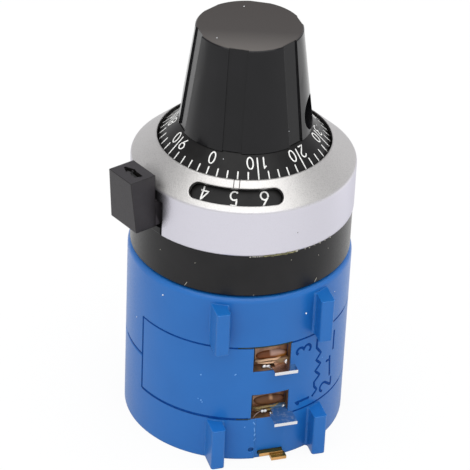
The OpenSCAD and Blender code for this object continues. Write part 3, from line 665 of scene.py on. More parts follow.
@contextmanager
def editing(piece: Piece) -> Iterator[None]:
    """Opens a mesh for editing, with all of it selected, and closes it again."""
    choose(piece)
    bpy.ops.object.mode_set(mode="EDIT")
    bpy.ops.mesh.select_all(action="SELECT")
    yield
    bpy.ops.object.mode_set(mode="OBJECT")


def face_out(piece: Piece) -> None:
    """Merges doubles and turns all faces outwards."""
    with editing(piece):
        bpy.ops.mesh.remove_doubles(threshold=WELD)
        bpy.ops.mesh.normals_make_consistent(inside=False)


def modify(piece: Piece, kind: str, **settings: object) -> None:
    """Applies one modifier of Blender's kind, with its settings."""
    made = piece.modifiers.new(kind, kind)
    for name, value in settings.items():
        setattr(made, name, value)
    choose(piece)
    bpy.ops.object.modifier_apply(modifier=kind)


def hand_over(pieces: list[Piece], name: str, body: str, finish: Finish) -> None:
    """Joins finished meshes into one piece, dresses it and lets it ride on its body.

    Args:
        pieces: the meshes.
        name: the name of the whole.
        body: the body that it moves with.
        finish: its finish.
    """
    deselect_all()
    for piece in pieces:
        piece.select_set(True)
    bpy.context.view_layer.objects.active = pieces[0]
    if len(pieces) > 1:
        bpy.ops.object.join()
    piece = bpy.context.view_layer.objects.active
    piece.name = name
    piece.data.name = name
    piece.data.materials.clear()
    piece.data.materials.append(finish.material())
    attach(piece, body)
    LOG.info("%s rides on %s with %d faces", piece.name, body, len(piece.data.polygons))


def polar(reach: float, turn: float, height: float) -> Vector:
    """Gives a point in metres from its distance to the shaft, its azimuth in radians and its height."""
    return Vector((reach * math.sin(turn), -reach * math.cos(turn), height)) * MM


@dataclass(frozen=True)
class RoundFace:
    """A cone about the shaft that marks are laid on: level at a slope of 0, a cylinder at 90."""

    radius: float
    height: float = 0.0
    slope: float = 90.0

    def point(self, azimuth: float, along: float, down: float, lift: float) -> Vector:
        """Gives a point near the face.

        Args:
            azimuth: where the mark's middle lies, in degrees.
            along: way from there round the face, towards growing azimuth.
            down: way down the slope and outwards.
            lift: height above the face.

        Returns:
            The point in metres.
        """
        tilt = math.radians(self.slope)
        level = self.radius + down * math.cos(tilt)
        return polar(level + lift * math.sin(tilt), math.radians(azimuth) + along / level,
                     self.height - down * math.sin(tilt) + lift * math.cos(tilt))


def bow(middle: Pair, radii: Pair, start: float, end: float, steps: int = 10) -> Stroke:
    """Gives points of an elliptic arc.

    Args:
        middle: the ellipse's middle.
        radii: its half-axes.
        start: the first angle in degrees.
        end: the last angle.
        steps: how many pieces it is drawn in.

    Returns:
        The points.
    """
    turns = [math.radians(start + (end - start) * i / steps) for i in range(steps + 1)]
    return [(middle[0] + radii[0] * math.cos(t), middle[1] + radii[1] * math.sin(t)) for t in turns]


# Strokes of the numerals, in a box 1 high, each about its own middle
NUMERALS: dict[str, list[Stroke]] = {
    "0": [bow((0.0, 0.5), (0.25, 0.5), 90, 450, 20)],
    "1": [[(-0.14, 0.78), (0.05, 1.0), (0.05, 0.0)]],
    "2": [bow((0.0, 0.72), (0.25, 0.28), 165, -30, 12) + [(-0.25, 0.0), (0.26, 0.0)]],
    "3": [bow((-0.02, 0.75), (0.23, 0.25), 145, -90, 12) + bow((-0.02, 0.25), (0.27, 0.25), 90, -145, 12)],
    "4": [[(0.12, 0.0), (0.12, 1.0), (-0.28, 0.3), (0.28, 0.3)]],
    "5": [[(0.22, 1.0), (-0.18, 1.0), (-0.2, 0.55)] + bow((-0.02, 0.31), (0.27, 0.31), 125, -140, 14)],
    "6": [bow((0.0, 0.29), (0.26, 0.29), -200, 160, 18) + [(0.16, 1.0)]],
    "7": [[(-0.25, 1.0), (0.25, 1.0), (-0.08, 0.0)]],
    "8": [bow((0.0, 0.76), (0.2, 0.24), -90, 270, 16), bow((0.0, 0.26), (0.26, 0.26), 90, 450, 16)],
    "9": [bow((0.0, 0.71), (0.26, 0.29), -20, 340, 18) + [(-0.16, 0.0)]],
}


def numeral(digit: str, height: float, at: Pair) -> list[Stroke]:
    """Gives a digit's strokes for a dial whose digits have their tops outwards.

    Args:
        digit: one character from 0 to 9.
        height: the height of its strokes.
        at: its middle, along the rim and down the slope.

    Returns:
        The strokes on the face.
    """
    return [[(at[0] - x * height, at[1] + (y - 0.5) * height) for x, y in stroke]
            for stroke in NUMERALS[digit]]


def in_short_steps(stroke: Stroke) -> Stroke:
    """Adds points to a stroke, so that it can follow a round face."""
    made = [stroke[0]]
    for first, last in zip(stroke, stroke[1:]):
        count = math.ceil(math.dist(first, last) / LONGEST_STEP)
        made += [(first[0] + (last[0] - first[0]) * i / count, first[1] + (last[1] - first[1]) * i / count)
                 for i in range(1, count + 1)]
    return made


def sweep(kind: str, lines: list[list[Point]], thickness: float, rings: int) -> Piece:
    """Sweeps a round section along lines.

    Args:
        kind: Blender's kind of spline, straight or smoothed between its points.
        lines: the points of each line.
        thickness: the section's diameter, in the unit of the points.
        rings: how finely the section is rounded.

    Returns:
        One mesh of all the lines, with closed ends.
    """
    deselect_all()
    bpy.ops.curve.primitive_nurbs_path_add(location=(0, 0, 0))
    curve = bpy.context.object
    curve.data.splines.clear()
    for line in lines:
        spline = curve.data.splines.new(kind)
        spline.points.add(len(line) - 1)
        for point, place in zip(spline.points, line):
            point.co = (*place, 1.0)
        if kind == "NURBS":
            spline.use_endpoint_u = True
            spline.resolution_u = CURVE_STEPS
    curve.data.bevel_depth = thickness / 2
    curve.data.bevel_resolution = rings
    curve.data.use_fill_caps = True
    bpy.ops.object.convert(target="MESH")
    return bpy.context.object


@dataclass(frozen=True)
class Pen:
    """A round pen that leaves a low line with a rounded top."""

    width: float
    height: float

    def lay(self, strokes: list[Stroke], face: RoundFace, azimuth: float = 0.0) -> Piece:
        """Draws strokes on a round face, x along growing azimuth and y down the slope.

        Args:
            strokes: the lines' points in millimetres.
            face: the face that they lie on.
            azimuth: where x is zero.

        Returns:
            The lines as a mesh, in their place.
        """
        lines = [[(x, y, 0.0) for x, y in in_short_steps(stroke)] for stroke in strokes]
        made = sweep("POLY", lines, self.width, 1)
        for corner in made.data.vertices:
            x, y, z = corner.co
            corner.co = face.point(azimuth, x, y, z * 2 * self.height / self.width)
        face_out(made)
        return made


def strand(points: list[Point], thickness: float) -> Piece:
    """Models a round wire along smoothed points.

    Args:
        points: x, distance in front of the shaft and height.
        thickness: the wire's diameter.

    Returns:
        The wire as a mesh.
    """
    made = sweep("NURBS", [[(x * MM, -reach * MM, z * MM) for x, reach, z in points]], thickness * MM, 3)
    face_out(made)
    bpy.ops.object.shade_smooth()
    return made


def cube(size: float, place: Point, scale: Point = (1.0, 1.0, 1.0)) -> Piece:
    """Adds a cube by its side and middle in metres, stretched by a scale along each axis."""
    deselect_all()
    bpy.ops.mesh.primitive_cube_add(size=size, location=place, scale=scale)
    return settle(bpy.context.object)


def curved_block(radii: Pair, azimuths: Pair, heights: Pair) -> Piece:
    """Models a block that follows a ring about the shaft.

    Args:
        radii: its inner and outer radius.
        azimuths: where it starts and ends, in degrees.
        heights: its lowest and highest level.

    Returns:
        The block, in its place.
    """
    made = cube(1.0, (0.5, 0.5, 0.5))
    with editing(made):
        bpy.ops.mesh.subdivide(number_cuts=BLOCK_CUTS)
    for corner in made.data.vertices:
        azimuth, reach, level = (span[0] + share * (span[1] - span[0])
                                 for span, share in zip((azimuths, radii, heights), corner.co))
        corner.co = polar(reach, math.radians(azimuth), level)
    face_out(made)
    return made


def lump(place: Point, size: Point, unevenness: float, grain: float, tilt: float = 0.0) -> Piece:
    """Models a frozen drop: a rounded body with an uneven skin.

    Args:
        place: x, distance in front of the shaft and height of its middle.
        size: its width, depth and height.
        unevenness: how far its skin rises and falls.
        grain: size of one rise.
        tilt: turn about the depth, in radians.

    Returns:
        The drop as a mesh.
    """
    deselect_all()
    bpy.ops.mesh.primitive_uv_sphere_add(segments=40, ring_count=20, radius=MM / 2,
                                         location=(place[0] * MM, -place[1] * MM, place[2] * MM),
                                         scale=size, rotation=(0, tilt, 0))
    made = settle(bpy.context.object)
    clouds = bpy.data.textures.new("skin", "CLOUDS")
    clouds.noise_scale = grain * MM
    modify(made, "DISPLACE", texture=clouds, strength=unevenness * MM, texture_coords="LOCAL")
    bpy.ops.object.shade_smooth()
    return made


@dataclass(frozen=True)
class Fleck:
    """A crumb of dust, flash or spray that lies on a surface, with a seed for its shape."""

    place: Vector
    size: Point
    seed: int
    turn: float = 0.0

    def model(self) -> Piece:
        """Models it as a small uneven shard, in its place."""
        deselect_all()
        bpy.ops.mesh.primitive_ico_sphere_add(subdivisions=2, radius=MM / 2, location=self.place,
                                              scale=self.size,
                                              rotation=(self.turn, FLECK_TURN * self.seed, 0))
        made = bpy.context.object
        with editing(made):
            bpy.ops.transform.vertex_random(offset=FLECK_ROUGHNESS * MM * min(self.size),
                                            seed=self.seed + 1)
        return settle(made)


# Sub-assemblies

Wardrobe = dict[Finish, tuple[str, ...]]


@dataclass
class SubAssembly:
    """Nodes of the CAD frame that belong together, and the pieces that the scene adds to them."""

    nodes: dict[str, Piece]
    index_azimuth: float = -21.6

    wears: ClassVar[Wardrobe] = {}

    def add_pieces(self) -> None:
        """Models what the CAD leaves out."""

    def build(self) -> None:
        """Gives the CAD nodes their finishes and adds the pieces."""
        for finish, names in self.wears.items():
            for name in names:
                node = self.nodes[name]
                if not node.material_slots:
                    node.data.materials.append(finish.material())
                for slot in node.material_slots:
                    slot.material = finish.material()
                LOG.info("%s is dressed in %s", name, finish.name)
        self.add_pieces()
        LOG.info("%s is complete", type(self).__name__)


@dataclass
class LugWindow:
    """What shows in a lug window: lacquer, the copper turn, its strands and the solder."""

    number: int
    sill: float
    turn_up: float
    blobs: tuple[tuple[float, float, float, float, float], ...]
    lead: tuple[Point, ...]
    turn_finish: Finish
    strand_finish: Finish
    foot_finish: Finish
    lead_finish: Finish
    sides: Pair = (-1.62, 2.22)
    height: float = 2.95
    wall: float = 11.04
    sleeve: float = 9.91
    depth: float = 1.27
    film: float = 0.03
    film_gap: float = 0.05
    film_cuts: tuple[int, int] = (24, 8)
    view_slant: float = 32.3
    foot_middle: Point = (1.37, -10.18, 0.47)
    foot_size: Point = (1.64, 0.5, 0.72)
    foot_rounding: float = 0.12
    wires: tuple[tuple[float, tuple[Point, ...]], ...] = (
        (0.24, ((-1.1, 0.07, 0.62), (-0.75, 0.42, 0.78), (-0.1, 0.5, 0.9), (0.6, 0.48, 0.86),
                (1.1, 0.42, 0.8), (1.5, 0.07, 0.74))),
        (0.22, ((-0.85, 0.12, 0.4), (-0.5, 0.42, 0.5), (0.2, 0.52, 0.52), (0.9, 0.5, 0.48),
                (1.5, 0.12, 0.46))))

    def place(self, x: float, reach: float, up: float) -> Point:
        """Gives a place from its height above the sill."""
        return (x, reach, self.sill + up)

    def hand_over(self, pieces: list[Piece], name: str, finish: Finish,
                  slot: str = "lacquered_core") -> None:
        """Hands pieces over that stay in this window, under a name with its number."""
        hand_over(pieces, f"{name}_{self.number}", "housing", finish)

    def lining(self) -> None:
        """Models the lacquer that ran over sill and right jamb as a thin uneven film."""
        left, right = self.sides[0] + 0.02, self.sides[1] - 0.02
        inner = self.sleeve + self.film_gap
        films = []
        for x, up, length, turn in (
                ((left + right) / 2, self.film, right - left, 0.0),
                (right - self.film / 2, self.height / 2, self.height - 0.1, math.pi / 2)):
            deselect_all()
            bpy.ops.mesh.primitive_grid_add(
                x_subdivisions=self.film_cuts[0], y_subdivisions=self.film_cuts[1], size=1.0,
                location=(x * MM, -(inner + 0.5) * MM, (self.sill + up) * MM), rotation=(0.0, turn, 0.0))
            sheet = bpy.context.object
            sheet.scale = (length * MM, MM, MM)
            settle(sheet)
            for corner in sheet.data.vertices:
                outer = math.sqrt(self.wall ** 2 - (corner.co.x / MM) ** 2) - 0.06
                share = -corner.co.y / MM - inner
                corner.co.y = -(inner + share * (outer - inner)) * MM
            modify(sheet, "SOLIDIFY", thickness=self.film * MM, offset=0)
            films.append(sheet)
        self.hand_over(films, "lacquer_film", DULL_LACQUER)

    def turn(self) -> None:
        """Models the turn of the winding that bulges out of the sleeve."""
        bulge = lump(self.place(0.52, self.sleeve - 0.1, self.turn_up), (3.2, 0.9, 1.22), 0.12, 0.8, 0.05)
        self.hand_over([bulge], "copper_turn", self.turn_finish)

    def strands(self) -> None:
        """Models the two wire strands below the turn."""
        made = [strand([self.place(x, self.sleeve + out, up) for x, out, up in path], thickness)
                for thickness, path in self.wires]
        self.hand_over(made, "copper_strands", self.strand_finish)

    def shades(self) -> None:
        """Models dark strips along the window's top and left edge as painted shadow, where the panel shades
        the sleeve.
        """
        top = self.height - self.depth * math.tan(math.radians(self.view_slant)) - 0.06
        rim = self.sleeve + 0.02
        reaches = [(x, math.sqrt(rim ** 2 - x ** 2)) for x in (-1.5, -0.6, 0.3, 1.2, 2.1)]
        runs = [strand([self.place(x, reach, top) for x, reach in reaches], 0.14),
                strand([self.place(-1.2, rim - 0.06, up) for up in (0.05, 0.8, 1.6, top)], 0.13)]
        self.hand_over(runs, "painted_window_edge_shadow", WINDOW_EDGE_SHADOW)

    def foot_pool(self) -> None:
        """Models a sheet over the lug's foot that carries a painted reflection of its surroundings."""
        x, y, up = self.foot_middle
        piece = cube(MM, (x * MM, y * MM, (self.sill + up) * MM), self.foot_size)
        modify(piece, "BEVEL", width=self.foot_rounding * MM, segments=4)
        with editing(piece):
            bpy.ops.mesh.subdivide(number_cuts=3)
            bpy.ops.transform.vertex_random(offset=0.02 * MM, seed=self.number)
            bpy.ops.mesh.vertices_smooth(factor=0.5, repeat=3)
        bpy.ops.object.shade_smooth()
        self.hand_over([piece], "foot_reflection_sheet", self.foot_finish)

    def solder(self) -> None:
        """Models the solder at the lug's inner corners and the wire end that leads to it."""
        drops = [lump(self.place(x, reach, up), (width, 0.3, high), 0.03, 0.3, 0.6 if x > 1 else -0.1)
                 for x, reach, up, width, high in self.blobs]
        self.hand_over(drops, "solder_joint", SOLDER, "tinned_lug")
        wire = strand([self.place(*point) for point in self.lead], 0.1)
        self.hand_over([wire], "wire_end", self.lead_finish, "tinned_lug")

    def build(self) -> None:
        """Builds everything in the window."""
        for part in (self.lining, self.turn, self.strands, self.shades, self.foot_pool, self.solder):
            part()


LOWER_WINDOW = LugWindow(
    1, 4.8, 1.35,
    ((-0.31, 10.55, 0.52, 0.4, 0.38), (0.0, 10.55, 0.5, 0.4, 0.38), (1.86, 10.45, 0.72, 0.26, 0.46),
     (0.45, 10.85, 0.38, 0.2, 0.2)),
    ((-1.3, 10.8, 0.06), (-1.15, 10.75, 0.3), (-0.9, 10.65, 0.42), (-0.5, 10.5, 0.5)),
    THICK_TURN, OLIVE_STRAND, FOOT_WITH_BLUE_REFLECTION, FLUXED_WIRE)
UPPER_WINDOW = LugWindow(
    3, 10.45, 1.08,
    ((-0.33, 10.55, 0.24, 0.5, 0.4), (0.05, 10.55, 0.2, 0.5, 0.36), (1.8, 10.6, 0.6, 0.26, 0.46),
     (0.36, 10.95, 0.12, 0.2, 0.18)),
    ((0.0, 10.55, 0.14), (0.2, 10.7, 0.1), (0.36, 10.95, 0.12), (0.42, 11.1, 0.2)),
    LACQUERED_TURN, LACQUERED_STRAND, FOOT_WITH_BROWN_REFLECTION, SOLDER)


@dataclass
class Housing(SubAssembly):
    """The blue housing with its marks, stains, scuffs and dust."""

    wall: RoundFace = RoundFace(11.115)
    sunk: float = 0.005
    mark_pen: Pen = Pen(0.27, 0.02)
    wide_seam_pen: Pen = Pen(0.28, 0.01)
    fine_seam_pen: Pen = Pen(0.2, 0.01)
    stain_pen: Pen = Pen(0.13, 0.016)
    seam_heights: tuple[float, float, float] = (4.87, 8.89, 13.33)
    panel_edge: float = -73.0
    digits: tuple[tuple[str, float, float, float], ...] = (
        ("3", 3.75, 12.0, 1.7), ("2", 7.3, 6.1, 1.9), ("1", 3.95, 5.75, 1.7))
    resistor_sign: tuple[Stroke, ...] = (
        [(5.5, 12.6), (5.46, 11.5), (6.15, 10.6), (5.5, 10.0), (6.2, 9.3), (5.45, 8.7),
         (6.17, 7.95), (5.4, 7.4), (5.45, 6.85), (5.85, 6.3), (5.2, 5.75)],
        [(7.75, 9.4), (7.95, 6.9)], [(7.1, 9.05), (7.75, 8.95)], [(8.35, 12.1), (8.34, 9.85)])
    dust: tuple[Point, ...] = (
        (-58.3, 17.4, 0.15), (-28.9, 15.25, 0.17), (19.1, 16.3, 0.2), (40.0, 17.0, 0.08),
        (-80.0, 12.5, 0.09))
    scuffs: tuple[tuple[float, float, float, float], ...] = (
        (-34.7, 9.72, 0.2, 0.16), (-17.1, 10.24, 0.12, 0.3), (-34.2, 6.7, 0.2, 0.18),
        (-35.8, 6.82, 0.1, 0.1), (-33.6, 6.5, 0.16, 0.1), (-6.4, 4.3, 0.12, 0.5), (-6.1, 3.5, 0.1, 0.6),
        (-5.9, 2.9, 0.14, 0.35), (-5.8, 2.3, 0.1, 0.4), (-11.2, 3.9, 0.1, 0.14), (33.0, 9.9, 0.1, 0.1))

    wears: ClassVar[Wardrobe] = {
        HOUSING_BLUE: ("rear_shell", "front_shell", "terminal_panel"),
        SLEEVE_LACQUER: ("winding_sleeve",), WOUND_CORE: ("resistance_winding",),
        TIN_WITH_BLUE_REFLECTION: ("terminal_1",), TIN_WITH_BROWN_REFLECTION: ("terminal_3",),
        BRASS_STRIP: ("terminal_2",), CONTACT_BRASS: ("collector_ring",),
        NICKEL_PLATE: ("bushing", "lock_washer", "panel_nut"), SPRING_STEEL: ("brake_band",)}

    def marks(self) -> None:
        """Engraves terminal numbers and the resistor sign, turned to be read upwards."""
        strokes: list[Stroke] = []
        for digit, along, height, size in self.digits:
            strokes += [[(along - (y - 0.5) * size, -(height + x * size)) for x, y in stroke]
                        for stroke in NUMERALS[digit]]
        strokes += [[(x, -z) for x, z in stroke] for stroke in self.resistor_sign]
        piece = self.mark_pen.lay(strokes, self.wall)
        hand_over([piece], "panel_marks", "housing", ENGRAVED_BLUE)

    def seams(self) -> None:
        """Paints shadow into the seams round the terminal panel and between the shells."""
        low, split, high = self.seam_heights
        edge = math.radians(self.panel_edge) * self.wall.radius
        wall = RoundFace(self.wall.radius - self.sunk)
        wide = self.wide_seam_pen.lay([[(edge, -low), (-1.9, -low)]], wall)
        fine = self.fine_seam_pen.lay([
            [(edge, -high), (-1.7, -high)], [(2.35, -high), (10.5, -high)], [(2.35, -low), (10.5, -low)],
            [(edge, -low), (edge, -high)], [(edge - 4.0, -split), (edge, -split)]], wall)
        hand_over([wide, fine], "seam_shadows", "housing", SEAM_SHADOW)

    def stains(self) -> None:
        """Draws the lacquer that crept into the seams beside the windows, darkened as painted shade along the
        upper window's top edge.
        """
        strokes: list[Stroke] = [[(-3.2, -13.35), (-1.66, -13.38)], [(-1.7, -13.4), (2.3, -13.42)],
                                 [(-3.1, -4.86), (-1.66, -4.86)]]
        piece = self.stain_pen.lay(strokes, self.wall)
        hand_over([piece], "seam_stains_and_shade", "housing", STAIN_AND_SHADE)

    def crumbs(self) -> None:
        """Lays the few pale crumbs that stick to the housing, and its pale marks: scuffs and a streak down
        the recess edge.
        """
        dust = [Fleck(self.wall.point(azimuth, 0, -height, 0.02), (size, size * 0.8, size), index,
                      index).model() for index, (azimuth, height, size) in enumerate(self.dust)]
        hand_over(dust, "housing_dust", "housing", PALE_DUST)
        marks = [Fleck(self.wall.point(azimuth, 0, -height, -0.01), (width, 0.08, high), index).model()
                 for index, (azimuth, height, width, high) in enumerate(self.scuffs, start=80)]
        hand_over(marks, "housing_scuffs", "housing", PALE_SCUFF)

    def add_pieces(self) -> None:
        """Adds marks, seams, stains and crumbs, and fills the two windows."""
        for part in (self.marks, self.seams, self.stains, self.crumbs,
                     LOWER_WINDOW.build, UPPER_WINDOW.build):
            part()


@dataclass
class DialHousing(SubAssembly):
    """The black base and the silver cover, with the index and the worn edge."""

    opening: RoundFace = RoundFace(8.5, 30.8, 41.35)
    edge: float = 23.9
    cover: RoundFace = RoundFace(11.0)
    base: RoundFace = RoundFace(10.93)
    slot: Pair = (-98.0, -62.5)
    lip_depth: Pair = (0.7, 0.01)
    lip_rise: Pair = (-0.02, 0.66)
    index_half: float = 0.27
    index_pen: Pen = Pen(0.08, 0.012)
    sliver_pen: Pen = Pen(0.06, 0.03)
    pale_bits: tuple[Point, ...] = (
        (-12.6, -0.12, 0.16), (-11.2, -0.07, 0.12), (-10.2, -0.1, 0.16), (-9.0, -0.1, 0.13),
        (-7.9, -0.08, 0.16), (-6.8, -0.1, 0.1), (11.6, -0.06, 0.26), (12.8, 0.02, 0.14),
        (16.5, -0.08, 0.1), (19.0, -0.1, 0.12), (22.4, -0.07, 0.09), (26.0, -0.09, 0.12),
        (29.5, -0.07, 0.1), (33.5, -0.08, 0.13))
    bit_lift: float = 0.06
    bit_depth: float = 0.16
    dirty_start: float = -5.5
    dirty_step: float = 0.85
    dirty_bits: int = 20
    dots: tuple[Pair, ...] = (
        (9.0, 22.9), (-62.0, 22.2), (26.0, 22.4), (-40.5, 22.3), (33.0, 22.6), (-10.0, 19.4))

    wears: ClassVar[Wardrobe] = {
        DIAL_BLACK: ("dial_base",), COVER_SILVER: ("dial_cover",)}

    def lip(self) -> None:
        """Models the base's lip that shows under the lever, in the cover's slot."""
        inner, outer = (self.base.radius - depth for depth in self.lip_depth)
        low, high = (self.edge + rise for rise in self.lip_rise)
        piece = curved_block((inner, outer), self.slot, (low, high))
        hand_over([piece], "base_lip", "housing", DIAL_BLACK)

    def index(self) -> None:
        """Draws painted shadow on the sides of the index groove and in the notch at the opening."""
        half = self.index_half
        strokes = [[(side, 0.02), (side, 0.86)] for side in (-half, half)] + [[(-half, 0.03), (half, 0.03)]]
        piece = self.index_pen.lay(strokes, self.opening, self.index_azimuth)
        hand_over([piece], "index_lines", "housing", INDEX_DARK)

    def flakes(self) -> None:
        """Lays broken spray along the cover's lower edge: pale bits and a dirty line."""
        pale = [Fleck(self.base.point(azimuth, 0, -(self.edge + up), self.bit_lift),
                      (size * 0.95, self.bit_depth, size * 0.85), index, index).model()
                for index, (azimuth, up, size) in enumerate(self.pale_bits)]
        hand_over(pale, "spray_flakes", "housing", SILVER_FLAKE)
        dirty = []
        for index in range(self.dirty_bits):
            azimuth = self.dirty_start + self.dirty_step * index
            up = 0.03 * math.sin(4.7 * index) - 0.08
            place = self.base.point(azimuth, 0, -(self.edge + up), self.bit_lift)
            length = 0.2 + 0.12 * math.sin(2.1 * index) ** 2
            dirty.append(Fleck(place, (length, self.bit_depth, 0.09), 30 + index).model())
        hand_over(dirty, "dirty_edge", "housing", DIRTY_FLAKE)

    def slivers(self) -> None:
        """Lays two slivers and some dots of spray on the base, and a speck on the cover."""
        shreds = [self.sliver_pen.lay([[(-0.14, -19.45), (0.1, -19.85)]], self.base, azimuth)
                  for azimuth in (-45.1, 25.0)]
        shreds += [Fleck(self.base.point(azimuth, 0, -height, -0.01), (0.08, 0.06, 0.08), index).model()
                   for index, (azimuth, height) in enumerate(self.dots, start=60)]
        hand_over(shreds, "base_slivers", "housing", SILVER_FLAKE)
        speck = Fleck(self.cover.point(11.5, 0, -25.9, 0.0), (0.1, 0.06, 0.1), 70).model()
        hand_over([speck], "cover_speck", "housing", INDEX_DARK)

    def add_pieces(self) -> None:
        """Adds the lip, the index and the worn spray."""
        for part in (self.lip, self.index, self.flakes, self.slivers):
            part()


@dataclass
class CountingRing(SubAssembly):
    """The ring that shows whole turns in the cover's window."""

    reading: float = 5.06
    step: float = 18.0
    numbers: int = 20
    number_radius: float = 9.31
    numeral_height: float = 1.38
    digit_pitch: float = 0.95
    pen: Pen = Pen(0.18, 0.015)
    face: RoundFace = RoundFace(8.65, 29.736, 41.35)

    wears: ClassVar[Wardrobe] = {SCALE_BLACK: ("counting_ring",)}

    def add_pieces(self) -> None:
        """Prints the numbers."""
        down = (self.number_radius - self.face.radius) / math.cos(math.radians(self.face.slope))
        pieces = []
        for number in range(self.numbers):
            azimuth = self.index_azimuth + (number - self.reading) * self.step
            digits = str(number)
            strokes: list[Stroke] = []
            for place, digit in enumerate(digits):
                shift = (place - (len(digits) - 1) / 2) * self.digit_pitch
                strokes += numeral(digit, self.numeral_height, (-shift, down))
            pieces.append(self.pen.lay(strokes, self.face, azimuth))
        hand_over(pieces, "turn_numbers", "count_ring", SCALE_WHITE)


@dataclass
class Knob(SubAssembly):
    """The grooved knob with its scale skirt, set screws and what sits inside."""

    divisions: int = 50
    ticks_at_index: int = 3
    short_tick: float = 0.98
    long_tick: float = 2.35
    ticks_per_number: int = 5
    numeral_height: float = 1.14
    numeral_gap: float = 0.26
    pen: Pen = Pen(0.145, 0.015)
    rim: RoundFace = RoundFace(8.3, 30.45, 45.0)
    dust: tuple[tuple[float, float, float, float], ...] = (
        (-64.1, 42.71, 4.18, 0.14), (171.6, 42.71, 3.78, 0.14), (23.2, 34.1, 6.3, 0.09),
        (-34.1, 31.85, 6.88, 0.12), (77.3, 31.84, 6.88, 0.14), (75.0, 31.55, 7.17, 0.12),
        (74.6, 31.14, 7.58, 0.13), (70.0, 31.3, 7.42, 0.08))

    wears: ClassVar[Wardrobe] = {
        KNOB_BLACK: ("knob",), SCALE_BLACK: ("scale_skirt",), BLACK_OXIDE: ("set_screws",),
        NICKEL_PLATE: ("shaft", "pinion_pin"), SPRING_STEEL: ("retaining_ring",),
        NATURAL_NYLON: ("rotor", "thrust_washer"), CONTACT_BRASS: ("pickup_brush", "knob_insert")}

    def scale(self) -> None:
        """Prints fifty ticks and the numbers 0 to 90 on the skirt."""
        middle = -self.short_tick - self.numeral_gap - self.numeral_height / 2
        pieces = []
        for tick in range(self.divisions):
            azimuth = self.index_azimuth + (tick - self.ticks_at_index) * 360 / self.divisions
            number, rest = divmod(tick, self.ticks_per_number)
            is_long = rest == 0 and number > 0
            length = self.long_tick if is_long else self.short_tick
            strokes: list[Stroke] = [[(0.0, -0.04), (0.0, -length)]]
            if is_long:
                strokes += numeral("0", self.numeral_height, (-0.7, middle))
                strokes += numeral(str(number), self.numeral_height, (0.66, middle))
            elif tick == 0:
                strokes += numeral("0", self.numeral_height, (0.0, middle - 0.06))
            pieces.append(self.pen.lay(strokes, self.rim, azimuth))
        hand_over(pieces, "scale_marks", "knob_and_rotor", SCALE_WHITE)

    def crumbs(self) -> None:
        """Lays the pale crumbs on knob and skirt."""
        shards = [Fleck(RoundFace(radius, height).point(azimuth, 0, 0, 0), (size, size, size * 0.4),
                        index).model()
                  for index, (azimuth, height, radius, size) in enumerate(self.dust, start=60)]
        hand_over(shards, "knob_dust", "knob_and_rotor", PALE_DUST)

    def add_pieces(self) -> None:
        """Adds the printed scale and the crumbs."""
        self.scale()
        self.crumbs()


@dataclass
class MovingSmallParts(SubAssembly):
    """The lever, the pinion and the contact carriage."""

    lever_azimuth: float = -74.4
    lever_middle: float = 12.57
    lever_inner: float = 11.15
    lever_half: float = 1.73
    askew: float = 6.0
    slot_height: float = 2.83
    root_rounding: float = 0.08
    arrow_radius: float = 12.6
    arrow_depth: float = 0.12
    paint_height: float = 0.18
    arrow_lines: tuple[tuple[float, Stroke], ...] = (
        (0.3, [(-1.14, 0.2), (-0.21, -0.42)]), (0.4, [(-0.3, -0.4), (0.16, -0.28)]),
        (0.46, [(0.06, -0.3), (1.09, -0.35)]), (0.18, [(-1.1, 0.2), (-0.45, 0.36)]))

    wears: ClassVar[Wardrobe] = {
        LEVER_BLACK: ("brake_lever",), NATURAL_NYLON: ("pinion", "contact_carriage"),
        CONTACT_BRASS: ("wiper_spring",)}

    def arrow(self) -> None:
        """Fills the arrow on the lever's top with black paint, as it was brushed in."""
        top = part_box("brake_lever")[1][2] / MM
        face = RoundFace(self.arrow_radius, top - self.arrow_depth, 0.0)
        strokes = [Pen(width, self.paint_height).lay([line], face, self.lever_azimuth)
                   for width, line in self.arrow_lines]
        hand_over(strokes, "arrow_paint", "lever", ARROW_BLACK)

    def root(self) -> None:
        """Models the lever's root, which slopes from its inner face into the cover's slot."""
        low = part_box("brake_lever")[0][2] / MM + 0.02
        piece = cube(1.0, (0.0, 0.5, 0.5))
        lean, turn = math.radians(self.askew), math.radians(self.lever_azimuth)
        for corner in piece.data.vertices:
            side, share, rise = corner.co
            across = side * 2 * (self.lever_half - 0.03 + 0.25 * (1 - rise * 0.5))
            reach = self.lever_inner + 0.25 - share * (1.2 - 0.6 * rise) - self.lever_middle
            x = across * math.cos(lean) + reach * math.sin(lean)
            out = reach * math.cos(lean) - across * math.sin(lean) + self.lever_middle
            corner.co = Vector((x * math.cos(turn) + out * math.sin(turn),
                                x * math.sin(turn) - out * math.cos(turn),
                                low + rise * self.slot_height)) * MM
        modify(piece, "BEVEL", width=self.root_rounding * MM, segments=3)
        face_out(piece)
        hand_over([piece], "lever_root", "lever", ROOT_PAINTED_PALER)

    def add_pieces(self) -> None:
        """Adds the arrow's paint and the lever's root."""
        self.arrow()
        self.root()


# Studio

def direction(azimuth: float, elevation: float) -> Vector:
    """Gives the unit vector towards an azimuth and an elevation, both in degrees."""
    turn, rise = math.radians(azimuth), math.radians(elevation)
    return Vector((math.sin(turn) * math.cos(rise), -math.cos(turn) * math.cos(rise), math.sin(rise)))


def graded(tree: Tree, value: Socket, stops: list[Pair]) -> Socket:
    """Turns a value from 0 to 1 into a grey level, by stops of a place and a level."""
    ramp = tree.nodes.new("ShaderNodeValToRGB")
    tree.links.new(value, ramp.inputs["Fac"])
    elements = ramp.color_ramp.elements
    for place, level in stops:
        elements.new(place).color = (level, level, level, 1.0)
    elements.remove(elements[0])
    elements.remove(elements[-1])
    return ramp.outputs["Color"]


def ray(tree: Tree, kind: str) -> Socket:
    """Tells with 1 whether the ray that looks is of a kind, such as Glossy."""
    return add(tree, "LightPath", output=f"Is {kind} Ray")


